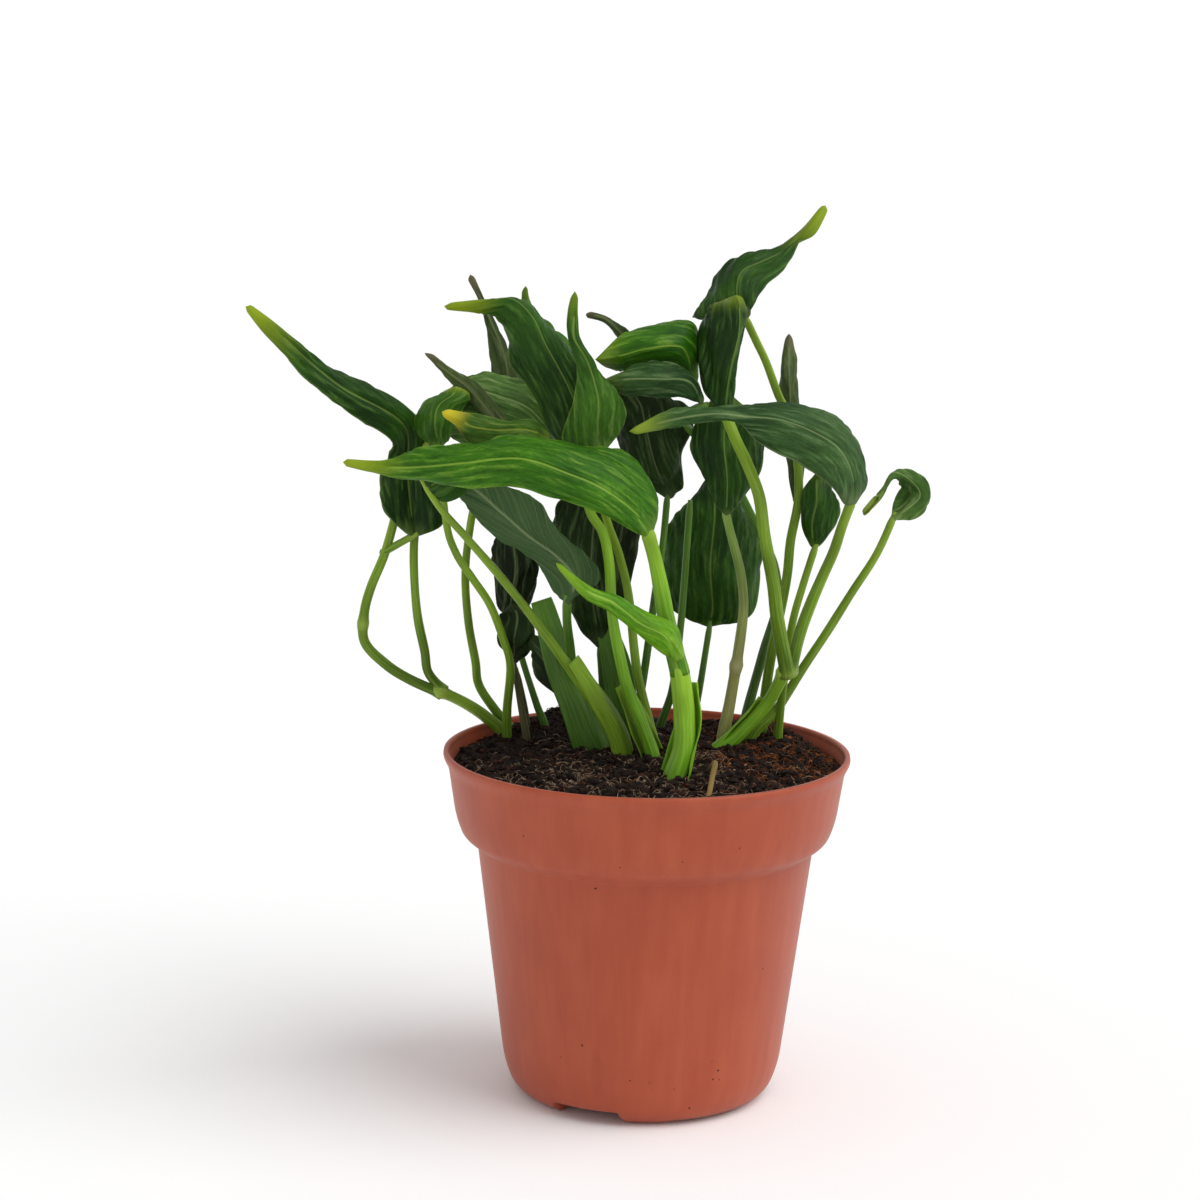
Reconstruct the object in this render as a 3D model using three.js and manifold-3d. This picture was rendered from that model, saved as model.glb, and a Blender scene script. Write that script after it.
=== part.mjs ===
// A young pothos with drooping, folded leaves in a 12 cm thin-wall nursery pot.
// Millimetres, +Z up. The origin is on the pot's axis at the floor, and -Y is the front.
// The pieces are the pot, the potting mix, each stem, petiole and root, and each leaf blade.
import * as THREE from "three";
import { mergeVertices } from "three/addons/utils/BufferGeometryUtils.js";
import Module from "manifold-3d";

// Pot: a 12 cm round pot, injection moulded with a wall of just over a millimetre.
const RIM_RADIUS = 60;
const POT_HEIGHT = 103;
const WALL = 1.2;
const SHOULDER_HEIGHT = 75.5; // where the body meets the rounded shoulder of the collar
const SHOULDER_RADIUS = 54.2;
const COLLAR_LOW_RADIUS = 56.2;
const COLLAR_TOP_RADIUS = 58.4;
const BODY_TOP_RADIUS = 49.7;
const BODY_LOW_RADIUS = 41.2;
const CORNER_HEIGHT = 9;
const FOOT_RADIUS = 34.2;
const FOOT_WIDTH = 2.6;
const FLOOR_RAISE = 3;
const CENTRE_PAD_RADIUS = 8;
const LUG_HEIGHT = 1.3;
const NOTCH_HEIGHT = 4.5;
const NOTCHES = 3;
const NOTCH_CENTRE = -26; // degrees from the front, towards -X
const NOTCH_WIDTH = 33; // degrees
const LUG_WIDTH = 23; // degrees, one each side of a notch
const DRAIN_HOLES = 6;
const DRAIN_RADIUS = 4;
const DRAIN_RING = 22;
const POT_SEGMENTS = 36;

// Potting mix: nearly level with the rim, heaped a little at the back and in the middle.
const SOIL_LEVEL = 100.4;
const SOIL_GAP = 0.4;
const SOIL_HEAPS = [
  { x: -27, y: 42, height: 5, spread: 10 },
  { x: 38, y: 34, height: 4, spread: 10 },
  { x: 0, y: 8, height: 2.5, spread: 22 },
];

// Plant: blades and stems are solids that keep this gap to whatever they touch.
const GAP = 0.3;
const BLADE_THICKNESS = 1;
const BLADE_STEPS = 7;
const BLADE_BULGE = 0.14; // how far each half arches up, as a share of its width
const NARROWEST_HALF = 1; // half the width of a blade's base and of its blunt drip tip
const STEM_SIDES = 6;
const STEM_STEPS_PER_POINT = 1.5;

// Stems, petioles and a root: the points each runs through from its foot to its end,
// and its radius at both ends.
const STEMS = {
  stem_left: {
    path: [[-42, 29, 88], [-44, 30, 100], [-48, 30, 105], [-55, 29, 110], [-63, 28, 114]],
    radius: [2, 1.8],
  },
  petiole_outer_left: {
    path: [
      [-64, 28, 114], [-72, 26, 118], [-79, 24, 123], [-85, 22, 130], [-85, 20, 139],
      [-83, 20, 147], [-79, 21, 157], [-76, 22, 168], [-73, 20, 180], [-67, 12, 190],
    ],
    radius: [1.6, 1.2],
  },
  petiole_far_left: {
    path: [[-77, 20, 159], [-74, 18, 161], [-71, 16, 163]],
    radius: [1.2, 1],
  },
  petiole_left_inner: {
    path: [
      [-63, 28, 116], [-66, 27, 120], [-67, 25, 127], [-69, 22, 138], [-70, 21, 150],
      [-70, 21, 162], [-68, 20, 176], [-67, 14, 190], [-67, 11, 197],
    ],
    radius: [1.6, 1.2],
  },
  petiole_left_third: {
    path: [
      [-35, 37, 88], [-39, 35, 98], [-46, 34, 107], [-51, 33, 115], [-52, 30, 123],
      [-54, 27, 135], [-55, 24, 149], [-54, 20, 162], [-51, 14, 178], [-45, 7, 197],
    ],
    radius: [1.5, 1],
  },
  petiole_left_fourth: {
    path: [
      [-41, 25, 88], [-42, 25, 100], [-42, 22, 110], [-41, 17, 124], [-43, 13, 133],
      [-47, 10, 144], [-52, 8, 152], [-57, 6, 160], [-60, 5, 170], [-62, 5, 191],
    ],
    radius: [1.4, 1],
  },
  sheath_left: {
    path: [[-35, 31, 88], [-36, 31, 99], [-37, 31, 108], [-39, 30, 118]],
    radius: [1.6, 0.9],
  },
  petiole_shaded_left: {
    path: [
      [-30, 28, 88], [-30, 28, 101], [-33, 28, 110], [-36, 28, 119], [-39, 29, 128], [-42, 29, 136],
    ],
    radius: [1.3, 1],
  },
  petiole_withered: {
    path: [[-35, 21, 88], [-36, 21, 101], [-38, 22, 112], [-40, 23, 123]],
    radius: [1.2, 0.9],
  },
  petiole_diagonal: {
    path: [
      [-5, 2, 88], [-7, 0, 98], [-10, -2, 109], [-17, -5, 120], [-25, -8, 132],
      [-34, -12, 145], [-43, -16, 157], [-53, -19, 169], [-60, -20, 177], [-64, -20, 183],
    ],
    radius: [2, 1],
  },
  petiole_sage: {
    path: [
      [-19, 19, 88], [-20, 18, 100], [-21, 15, 109], [-22, 10, 119], [-23, 3, 132], [-24, -4, 142],
      [-24, -7, 148],
    ],
    radius: [1.8, 1.3],
  },
  petiole_front_left: {
    path: [
      [3, -4, 88], [2, -5, 101], [-2, -6, 113], [-6, -7, 123], [-9, -8, 135], [-11, -8, 146],
      [-12, -8, 160], [-14, -8, 169], [-18, -8, 176], [-19, -6, 186],
    ],
    radius: [2, 1.3],
  },
  petiole_front_branch: {
    path: [[4, 8, 88], [3, 8, 100], [-3, 9, 124], [-6, 9, 147], [-9, 6, 160], [-14, -2, 176],
      [-15, -8, 192]],
    radius: [1.5, 1.1],
  },
  stem_front: {
    path: [[6, -27, 88], [7, -26, 99], [10, -25, 109], [10, -24, 119], [9, -24, 128], [8, -24, 134]],
    radius: [4.2, 3.4],
  },
  petiole_front_arch: {
    path: [[8, -24, 135], [5, -25, 146], [3, -26, 156], [1, -27, 165], [-1, -28, 172]],
    radius: [2.8, 2.2],
  },
  aerial_root: {
    path: [[16, -50, 99], [17, -47, 102], [18, -40, 105], [19, -32, 107], [18, -26, 104]],
    radius: [0.7, 0.8],
  },
  stem_right: {
    path: [[14, 9, 92], [20, 10, 100], [26, 11, 104], [31, 12, 109], [36, 12, 115], [39, 11, 121],
      [41, 10, 126]],
    radius: [2.2, 2],
  },
  petiole_centre_right: {
    path: [
      [22, 17, 88], [23, 17, 102], [25, 16, 115], [27, 13, 131], [28, 10, 144], [27, 7, 154],
      [25, 5, 162], [23, 4, 169], [22, 4, 173],
    ],
    radius: [2, 1.2],
  },
  petiole_hanging_dark: {
    path: [
      [41, 9, 127], [38, 5, 141], [36, 1, 154], [33, -2, 168], [31, -4, 180], [27, -4, 190],
      [24, -3, 196], [21, -1, 203],
    ],
    radius: [2.1, 1.6],
  },
  petiole_top_right: {
    path: [
      [34, 27, 88], [35, 26, 103], [37, 24, 125], [41, 21, 150], [42, 20, 163], [44, 20, 176],
      [43, 20, 190], [40, 18, 201], [37, 16, 207], [33, 13, 217], [30, 11, 223], [27, 10, 229],
    ],
    radius: [1.7, 1.1],
  },
  petiole_right_droop: {
    path: [
      [43, 11, 128], [45, 11, 137], [48, 11, 146], [51, 10, 154], [54, 8, 162], [56, 5, 170],
      [58, 2, 177],
    ],
    radius: [1.8, 1.5],
  },
  petiole_bud: {
    path: [
      [27, 20, 88], [32, 20, 103], [39, 21, 111], [47, 23, 124], [54, 24, 135], [61, 24, 147],
      [68, 23, 159], [72, 22, 169],
    ],
    radius: [1.6, 1.1],
  },
  petiole_small_right: {
    path: [[40, 22, 88], [40, 22, 103], [41, 18, 120], [43, 17, 138], [46, 18, 150], [49, 19, 160]],
    radius: [1.5, 1.2],
  },
  petiole_back_right: {
    path: [
      [29, 33, 88], [30, 33, 103], [35, 33, 125], [39, 31, 141], [38, 30, 153], [34, 30, 162],
      [30, 28, 170], [24, 26, 181], [16, 21, 191], [10, 14, 198], [11, 6, 203], [14, 1, 205],
    ],
    radius: [1.7, 1.1],
  },
  sheath_stub: {
    path: [[4, 31, 88], [4, 31, 101], [8, 31, 115], [10, 31, 134], [11, 31, 150], [12, 31, 170]],
    radius: [1.3, 1],
  },
  petiole_low_back: {
    path: [[15, 41, 88], [15, 41, 102], [17, 41, 117], [19, 43, 131]],
    radius: [1.2, 1],
  },
  petiole_crumpled: {
    path: [
      [-4, 24, 88], [-4, 24, 101], [-1, 25, 120], [2, 26, 145], [4, 26, 160], [5, 27, 173],
    ],
    radius: [1.4, 1],
  },
  petiole_inner_dark: {
    path: [[-12, 23, 88], [-12, 23, 101], [-13, 22, 115], [-14, 22, 128]],
    radius: [1.5, 1.2],
  },
};

// Leaf blades: rows across each blade from its base to its tip. Every row gives the
// left margin, the midrib and the right margin, as seen from above with the tip ahead.
const BLADES = {
  leaf_far_left: [
    [[-71, 15, 163], [-70, 16, 163], [-69, 15, 163]],
    [[-79, 10, 172], [-71, 15, 172], [-61, 17, 168]],
    [[-79, 8, 182], [-72, 12, 184], [-64, 17, 181]],
    [[-77, 2, 194], [-73, 6, 198], [-69, 11, 200]],
    [[-91, -8, 205], [-89, -5, 209], [-87, 0, 212]],
    [[-100, -14, 214], [-99, -12, 218], [-97, -9, 219]],
    [[-110, -21, 226], [-108, -20, 228], [-107, -19, 229]],
    [[-115, -24, 233], [-115, -24, 234], [-114, -24, 235]],
  ],
  leaf_front_arch: [
    [[-2, -28, 171], [-1, -28, 172], [0, -27, 173]],
    [[-6, -34, 174], [-5, -35, 179], [1, -24, 183]],
    [[-15, -37, 179], [-14, -38, 186], [-5, -23, 192]],
    [[-26, -38, 183], [-23, -39, 190], [-16, -26, 196]],
    [[-39, -37, 186], [-37, -37, 194], [-34, -26, 199]],
    [[-53, -32, 185], [-53, -33, 192], [-51, -26, 197]],
    [[-67, -26, 186], [-66, -28, 190], [-65, -24, 195]],
    [[-78, -21, 187], [-77, -22, 189], [-76, -21, 191]],
    [[-88, -20, 189], [-88, -20, 190], [-88, -20, 191]],
  ],
  leaf_hooked: [
    [[-19, 3, 192], [-18, 3, 192], [-16, 3, 192]],
    [[-29, 0, 196], [-21, -5, 202], [-13, 1, 196]],
    [[-35, 0, 207], [-25, -7, 212], [-17, 1, 209]],
    [[-41, -1, 218], [-31, -9, 223], [-23, -1, 220]],
    [[-43, -3, 226], [-35, -9, 231], [-31, -3, 227]],
    [[-47, -6, 231], [-41, -9, 236], [-36, -5, 233]],
    [[-51, -9, 232], [-49, -10, 235], [-45, -9, 236]],
    [[-60, -12, 233], [-60, -12, 234], [-59, -12, 235]],
  ],
  leaf_behind_hooked: [
    [[-17, 19, 192], [-15, 19, 192], [-13, 19, 193]],
    [[-27, 19, 198], [-18, 16, 205], [-12, 20, 200]],
    [[-33, 20, 213], [-25, 16, 216], [-19, 20, 213]],
    [[-38, 22, 224], [-32, 18, 225], [-27, 21, 222]],
    [[-39, 24, 231], [-37, 23, 231], [-35, 24, 230]],
    [[-39, 26, 236], [-38, 26, 237], [-38, 26, 236]],
  ],
  leaf_centre_spike: [
    [[-17, -9, 193], [-15, -9, 193], [-13, -9, 194]],
    [[-26, -13, 196], [-16, -14, 201], [-9, -10, 199]],
    [[-23, -14, 208], [-16, -15, 209], [-9, -11, 207]],
    [[-22, -14, 217], [-19, -15, 219], [-15, -13, 216]],
    [[-25, -14, 226], [-23, -15, 226], [-21, -14, 225]],
    [[-25, -14, 233], [-23, -14, 233], [-22, -14, 232]],
    [[-24, -14, 238], [-23, -14, 239], [-22, -14, 238]],
  ],
  leaf_olive_spike: [
    [[-41, 26, 196], [-39, 26, 196], [-37, 26, 196]],
    [[-47, 27, 203], [-42, 24, 206], [-37, 27, 204]],
    [[-48, 30, 214], [-44, 28, 216], [-41, 30, 213]],
    [[-50, 34, 224], [-48, 33, 225], [-46, 34, 223]],
    [[-52, 37, 231], [-51, 37, 231], [-50, 37, 231]],
    [[-56, 41, 238], [-55, 41, 239], [-54, 41, 239]],
  ],
  leaf_thin_spike: [
    [[-45, 6, 198], [-44, 6, 198], [-42, 6, 199]],
    [[-51, 6, 202], [-49, 4, 204], [-46, 6, 205]],
    [[-56, 8, 207], [-54, 6, 209], [-52, 8, 210]],
    [[-61, 11, 212], [-60, 10, 213], [-59, 11, 214]],
    [[-66, 14, 217], [-67, 14, 218], [-65, 14, 218]],
  ],
  leaf_pale_dome: [
    [[-29, 20, 190], [-28, 20, 192], [-27, 20, 193]],
    [[-39, 14, 190], [-36, 13, 202], [-32, 22, 206]],
    [[-49, 10, 190], [-45, 10, 206], [-39, 22, 209]],
    [[-58, 10, 193], [-54, 10, 208], [-48, 18, 211]],
    [[-64, 10, 199], [-61, 10, 205], [-56, 14, 209]],
    [[-67, 10, 198], [-68, 10, 199], [-67, 11, 200]],
  ],
  leaf_cupped: [
    [[-64, 4, 192], [-62, 4, 192], [-61, 4, 192]],
    [[-68, 6, 196], [-63, -2, 199], [-58, 2, 196]],
    [[-68, 8, 201], [-62, 0, 204], [-55, 2, 203]],
    [[-64, 8, 205], [-58, 2, 207], [-53, 3, 206]],
    [[-60, 7, 208], [-57, 5, 209], [-54, 5, 208]],
  ],
  leaf_yellow_tip: [
    [[-31, -12, 196], [-30, -12, 197], [-30, -12, 198]],
    [[-37, -16, 194], [-36, -19, 200], [-35, -16, 203]],
    [[-44, -18, 193], [-44, -21, 200], [-41, -18, 202]],
    [[-52, -20, 196], [-51, -22, 201], [-49, -20, 204]],
    [[-56, -21, 201], [-55, -22, 203], [-54, -21, 205]],
    [[-60, -22, 204], [-60, -22, 205], [-59, -22, 206]],
  ],
  leaf_top_right: [
    [[26, 10, 230], [27, 10, 230], [28, 10, 231]],
    [[11, 15, 229], [24, 7, 236], [28, 10, 234]],
    [[16, 17, 235], [24, 8, 241], [30, 12, 237]],
    [[19, 18, 242], [26, 11, 244], [33, 13, 240]],
    [[25, 19, 247], [31, 14, 246], [38, 16, 244]],
    [[36, 22, 250], [38, 18, 249], [42, 19, 251]],
    [[43, 24, 255], [45, 22, 255], [47, 22, 254]],
    [[49, 27, 262], [50, 27, 262], [51, 27, 261]],
  ],
  leaf_hanging_dark: [
    [[19, -1, 204], [21, -1, 204], [22, -1, 204]],
    [[16, 1, 208], [21, -4, 209], [23, -2, 209]],
    [[13, 3, 215], [22, -5, 217], [24, -3, 217]],
    [[12, 4, 225], [24, -5, 227], [25, -2, 227]],
    [[16, 5, 233], [24, -4, 234], [26, -1, 233]],
    [[21, 4, 236], [23, 1, 237], [25, 1, 237]],
  ],
  leaf_bright_arch: [
    [[12, 7, 210], [12, 7, 211], [13, 7, 212]],
    [[7, 8, 213], [9, -1, 221], [12, 9, 225]],
    [[3, 9, 214], [5, -4, 223], [9, 6, 229]],
    [[-5, 8, 215], [-3, -5, 222], [0, 2, 229]],
    [[-12, 4, 215], [-10, -5, 220], [-9, -1, 226]],
    [[-16, -6, 218], [-17, -7, 219], [-16, -6, 220]],
  ],
  leaf_pleated: [
    [[14, 0, 206], [14, 0, 206], [15, 0, 207]],
    [[9, -3, 208], [10, -6, 213], [11, -3, 215]],
    [[1, -6, 208], [2, -10, 214], [4, -4, 218]],
    [[-7, -7, 209], [-7, -11, 214], [-5, -6, 217]],
    [[-14, -9, 211], [-15, -10, 213], [-13, -9, 214]],
  ],
  leaf_grey_tip: [
    [[-5, 16, 219], [-4, 16, 220], [-3, 16, 221]],
    [[-10, 18, 223], [-9, 16, 224], [-7, 18, 225]],
    [[-15, 22, 227], [-14, 21, 228], [-13, 22, 228]],
    [[-20, 26, 228], [-20, 26, 229], [-19, 26, 230]],
  ],
  leaf_right_droop: [
    [[56, 1, 177], [58, 1, 177], [59, 2, 177]],
    [[52, -7, 183], [58, -5, 185], [62, 5, 184]],
    [[46, -13, 188], [54, -11, 194], [60, 5, 193]],
    [[38, -18, 193], [46, -17, 200], [52, 0, 202]],
    [[29, -21, 198], [36, -21, 204], [41, -7, 207]],
    [[24, -22, 203], [26, -22, 205], [28, -14, 207]],
    [[17, -23, 204], [18, -24, 206], [17, -20, 207]],
    [[7, -24, 202], [8, -26, 205], [8, -23, 208]],
    [[0, -25, 201], [0, -26, 203], [0, -25, 205]],
    [[-6, -27, 200], [-7, -27, 201], [-6, -27, 202]],
  ],
  leaf_small_right: [
    [[48, 20, 161], [49, 20, 161], [50, 20, 161]],
    [[45, 19, 170], [48, 15, 169], [55, 18, 167]],
    [[44, 18, 176], [49, 14, 176], [56, 18, 173]],
    [[46, 18, 180], [49, 16, 181], [54, 18, 178]],
    [[49, 18, 184], [50, 18, 185], [51, 18, 184]],
  ],
  leaf_centre_right: [
    [[21, 3, 174], [22, 3, 173], [23, 3, 174]],
    [[18, 8, 177], [22, 2, 178], [27, 9, 177]],
    [[15, 11, 183], [22, 4, 184], [31, 12, 183]],
    [[12, 12, 191], [21, 5, 193], [33, 13, 192]],
    [[13, 12, 200], [21, 7, 202], [31, 12, 200]],
    [[19, 11, 208], [20, 10, 210], [22, 11, 208]],
  ],
  leaf_right_spike: [
    [[43, 26, 173], [44, 26, 173], [45, 26, 173]],
    [[41, 28, 183], [43, 26, 185], [46, 28, 183]],
    [[38, 30, 195], [42, 26, 197], [46, 30, 195]],
    [[38, 32, 206], [41, 29, 208], [44, 32, 206]],
    [[39, 36, 217], [41, 35, 217], [43, 36, 216]],
    [[40, 39, 222], [41, 39, 223], [42, 39, 222]],
  ],
  leaf_low_back: [
    [[18, 44, 132], [19, 44, 132], [20, 44, 132]],
    [[8, 46, 137], [20, 42, 139], [32, 46, 136]],
    [[4, 48, 150], [19, 40, 152], [35, 48, 148]],
    [[6, 48, 162], [20, 42, 166], [34, 48, 160]],
    [[13, 48, 171], [20, 46, 175], [28, 48, 171]],
    [[19, 48, 180], [20, 48, 182], [22, 48, 180]],
  ],
  leaf_sage_droop: [
    [[-23, -6, 149], [-24, -7, 148], [-26, -7, 149]],
    [[-15, -4, 155], [-22, -12, 156], [-29, -8, 154]],
    [[-20, -6, 164], [-27, -15, 163], [-35, -10, 161]],
    [[-28, -8, 171], [-35, -17, 169], [-44, -12, 168]],
    [[-35, -10, 179], [-43, -18, 176], [-53, -13, 176]],
    [[-46, -12, 185], [-52, -16, 183], [-58, -13, 182]],
    [[-61, -13, 187], [-62, -13, 186], [-61, -13, 185]],
  ],
  leaf_shaded_left: [
    [[-43, 29, 137], [-42, 29, 137], [-40, 29, 137]],
    [[-46, 29, 142], [-41, 24, 145], [-35, 28, 142]],
    [[-47, 28, 151], [-40, 22, 154], [-34, 27, 151]],
    [[-46, 27, 160], [-41, 22, 163], [-36, 26, 160]],
    [[-43, 26, 168], [-42, 25, 170], [-41, 26, 168]],
  ],
  leaf_low_left: [
    [[-25, 16, 114], [-24, 16, 114], [-23, 16, 115]],
    [[-30, 18, 118], [-27, 13, 122], [-24, 17, 121]],
    [[-34, 18, 125], [-30, 14, 129], [-26, 17, 128]],
    [[-36, 17, 132], [-35, 17, 134], [-33, 17, 134]],
  ],
  leaf_withered: [
    [[-42, 23, 124], [-40, 23, 124], [-39, 23, 124]],
    [[-44, 21, 130], [-40, 17, 132], [-36, 20, 130]],
    [[-44, 21, 137], [-39, 17, 139], [-34, 19, 137]],
    [[-42, 21, 142], [-41, 20, 143], [-39, 20, 142]],
  ],
  leaf_young_front: [
    [[7, -29, 136], [8, -29, 136], [10, -28, 137]],
    [[3, -33, 139], [4, -35, 144], [7, -29, 146]],
    [[-4, -35, 145], [-3, -37, 148], [0, -32, 150]],
    [[-12, -36, 151], [-11, -37, 154], [-9, -34, 155]],
    [[-19, -36, 155], [-18, -37, 157], [-17, -36, 158]],
    [[-27, -37, 164], [-27, -37, 165], [-26, -37, 165]],
  ],
  leaf_under_arch: [
    [[-65, -20, 184], [-64, -20, 183], [-64, -20, 182]],
    [[-64, -20, 190], [-60, -22, 186], [-58, -20, 179]],
    [[-59, -20, 195], [-56, -22, 190], [-52, -20, 183]],
    [[-53, -19, 196], [-51, -19, 194], [-49, -19, 192]],
  ],
  leaf_crumpled_back: [
    [[5, 28, 174], [6, 28, 174], [7, 28, 174]],
    [[-6, 26, 182], [1, 20, 186], [10, 26, 184]],
    [[-12, 22, 195], [-2, 16, 198], [11, 22, 194]],
    [[-13, 18, 203], [-4, 12, 205], [10, 18, 203]],
    [[-12, 16, 208], [-10, 14, 210], [-7, 15, 209]],
  ],
  leaf_inner_dark: [
    [[-15, 22, 129], [-14, 22, 129], [-12, 22, 129]],
    [[-26, 20, 144], [-17, 15, 148], [-7, 20, 144]],
    [[-30, 18, 161], [-17, 12, 165], [-3, 18, 161]],
    [[-27, 16, 173], [-15, 11, 178], [-3, 16, 175]],
    [[-14, 14, 183], [-12, 13, 185], [-10, 14, 183]],
  ],
  leaf_bud: [
    [[72, 22, 169], [72, 22, 170], [74, 22, 170]],
    [[73, 25, 175], [76, 20, 173], [79, 23, 171]],
    [[76, 26, 179], [80, 20, 177], [83, 24, 175]],
    [[74, 25, 182], [78, 20, 181], [82, 25, 181]],
    [[71, 20, 181], [72, 20, 184], [75, 23, 184]],
    [[68, 18, 176], [68, 18, 178], [70, 19, 180]],
    [[63, 16, 171], [63, 16, 172], [64, 16, 173]],
  ],
};

const COLOURS = {
  pot: { color: 0xb0563f, roughness: 0.55 },
  soil: { color: 0x2e2119, roughness: 0.95 },
  stem: { color: 0x7a9a2a, roughness: 0.5 },
  root: { color: 0x8a6a48, roughness: 0.8 },
  leaf: { color: 0x2f5a1c, roughness: 0.45 },
  youngLeaf: { color: 0x79ad2c, roughness: 0.45 },
};
const YOUNG_LEAVES = ["leaf_young_front", "leaf_bud", "leaf_cupped"];

const wasm = await Module();
wasm.setup();

// ---- Solids and cuts -------------------------------------------------------

const point = ([x, y, z]) => new THREE.Vector3(x, y, z);

// A closed mesh as a manifold-3d solid. A mesh wound inwards is turned round.
function solidOf(geometry) {
  const bare = geometry.clone();
  bare.deleteAttribute("normal");
  bare.deleteAttribute("uv");
  const merged = mergeVertices(bare, 1e-3);
  const positions = merged.attributes.position.array;
  const build = (indices) => new wasm.Manifold(
    new wasm.Mesh({ numProp: 3, vertProperties: positions, triVerts: new Uint32Array(indices) }),
  );
  const indices = Array.from(merged.index.array);
  const solid = build(indices);
  return solid.volume() < 0 ? build(indices.reverse()) : solid;
}

function geometryOf(solid) {
  const mesh = solid.getMesh();
  const geometry = new THREE.BufferGeometry();
  geometry.setAttribute("position", new THREE.BufferAttribute(mesh.vertProperties, 3));
  geometry.setIndex(new THREE.BufferAttribute(mesh.triVerts, 1));
  return geometry;
}

// Cuts the swollen neighbours out of a solid, and keeps the largest piece that is left.
function clearOf(solid, swollenNeighbours) {
  let left = solid;
  for (const neighbour of swollenNeighbours) {
    if (left.intersect(neighbour).volume() > 0) left = left.subtract(neighbour);
  }
  const pieces = left.decompose();
  return pieces.reduce((best, piece) => (piece.volume() > best.volume() ? piece : best));
}

// Closes a stack of rings, each with the same number of points, into one body. Each end
// is a fan about its own middle point, which stays sound where a ring is nearly flat.
function loft(rings) {
  const size = rings[0].length;
  const middleOf = (ring) => ring.reduce((sum, p) => sum.add(p), new THREE.Vector3()).divideScalar(size);
  const points = [...rings.flat(), middleOf(rings[0]), middleOf(rings.at(-1))];
  const positions = points.flatMap((p) => [p.x, p.y, p.z]);
  const triangles = [];
  for (let ring = 0; ring + 1 < rings.length; ring++) {
    for (let i = 0; i < size; i++) {
      const a = ring * size + i;
      const b = ring * size + ((i + 1) % size);
      triangles.push(a, b, a + size, b, b + size, a + size);
    }
  }
  const top = (rings.length - 1) * size;
  const firstMiddle = rings.length * size;
  for (let i = 0; i < size; i++) {
    const next = (i + 1) % size;
    triangles.push(firstMiddle, next, i, firstMiddle + 1, top + i, top + next);
  }
  const geometry = new THREE.BufferGeometry();
  geometry.setAttribute("position", new THREE.Float32BufferAttribute(positions, 3));
  geometry.setIndex(triangles);
  return solidOf(geometry);
}

// ---- Pot -------------------------------------------------------------------

function potProfile() {
  const floorTop = FLOOR_RAISE + WALL;
  const outside = [
    [0, 0], [CENTRE_PAD_RADIUS, 0], [CENTRE_PAD_RADIUS + 0.5, FLOOR_RAISE],
    [FOOT_RADIUS - FOOT_WIDTH - 0.6, FLOOR_RAISE], [FOOT_RADIUS - FOOT_WIDTH, 0],
    [FOOT_RADIUS, 0], [37.4, 1.6], [39.6, 4.4],
    [BODY_LOW_RADIUS, CORNER_HEIGHT], [BODY_TOP_RADIUS, SHOULDER_HEIGHT],
    [SHOULDER_RADIUS, SHOULDER_HEIGHT + 3.2], [COLLAR_LOW_RADIUS, SHOULDER_HEIGHT + 8.5],
    [COLLAR_TOP_RADIUS, POT_HEIGHT - 4.4],
    [RIM_RADIUS - 0.5, POT_HEIGHT - 2.4], [RIM_RADIUS, POT_HEIGHT - 1.2],
    [RIM_RADIUS - 0.2, POT_HEIGHT], [RIM_RADIUS - 1.5, POT_HEIGHT],
  ];
  const inside = innerWall().reverse();
  return [...outside, ...inside, [0, floorTop]].map(([r, z]) => new THREE.Vector2(r, z));
}

// The pot's inner wall from the floor up to the rim.
function innerWall() {
  const floorTop = FLOOR_RAISE + WALL;
  return [
    [36.6, floorTop], [38.8, floorTop + 2], [BODY_LOW_RADIUS - WALL, CORNER_HEIGHT + 1],
    [BODY_TOP_RADIUS - WALL, SHOULDER_HEIGHT + 1], [SHOULDER_RADIUS - WALL, SHOULDER_HEIGHT + 4.4],
    [COLLAR_LOW_RADIUS - WALL, SHOULDER_HEIGHT + 9.4], [COLLAR_TOP_RADIUS - WALL, POT_HEIGHT - 4.2],
    [RIM_RADIUS - 1.7, POT_HEIGHT - 1],
  ];
}

// A ring sector under the pot, from one angle to another in degrees from the front.
function sectorCutter(from, to, height) {
  const angle = (degrees) => THREE.MathUtils.degToRad(degrees - 90);
  const shape = new THREE.Shape();
  shape.absarc(0, 0, FOOT_RADIUS + 8, angle(from), angle(to), false);
  shape.absarc(0, 0, FOOT_RADIUS - FOOT_WIDTH - 2, angle(to), angle(from), true);
  const options = { depth: height + 1, bevelEnabled: false, curveSegments: 6 };
  return solidOf(new THREE.ExtrudeGeometry(shape, options).translate(0, 0, -1));
}

function makePot() {
  const turned = new THREE.LatheGeometry(potProfile(), POT_SEGMENTS).rotateX(Math.PI / 2);
  let pot = solidOf(turned);
  const spacing = 360 / NOTCHES;
  for (let i = 0; i < NOTCHES; i++) {
    const centre = NOTCH_CENTRE + i * spacing;
    const half = NOTCH_WIDTH / 2;
    pot = pot.subtract(sectorCutter(centre - half, centre + half, NOTCH_HEIGHT));
    const relief = sectorCutter(centre + half + LUG_WIDTH, centre + spacing - half - LUG_WIDTH, LUG_HEIGHT);
    pot = pot.subtract(relief);
  }
  for (let i = 0; i < DRAIN_HOLES; i++) {
    const angle = (i / DRAIN_HOLES) * 2 * Math.PI;
    const hole = new THREE.CylinderGeometry(DRAIN_RADIUS, DRAIN_RADIUS, 6, 12).rotateX(Math.PI / 2);
    hole.translate(DRAIN_RING * Math.cos(angle), DRAIN_RING * Math.sin(angle), FLOOR_RAISE + WALL / 2);
    pot = pot.subtract(solidOf(hole));
  }
  return pot;
}

// ---- Potting mix -----------------------------------------------------------

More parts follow.
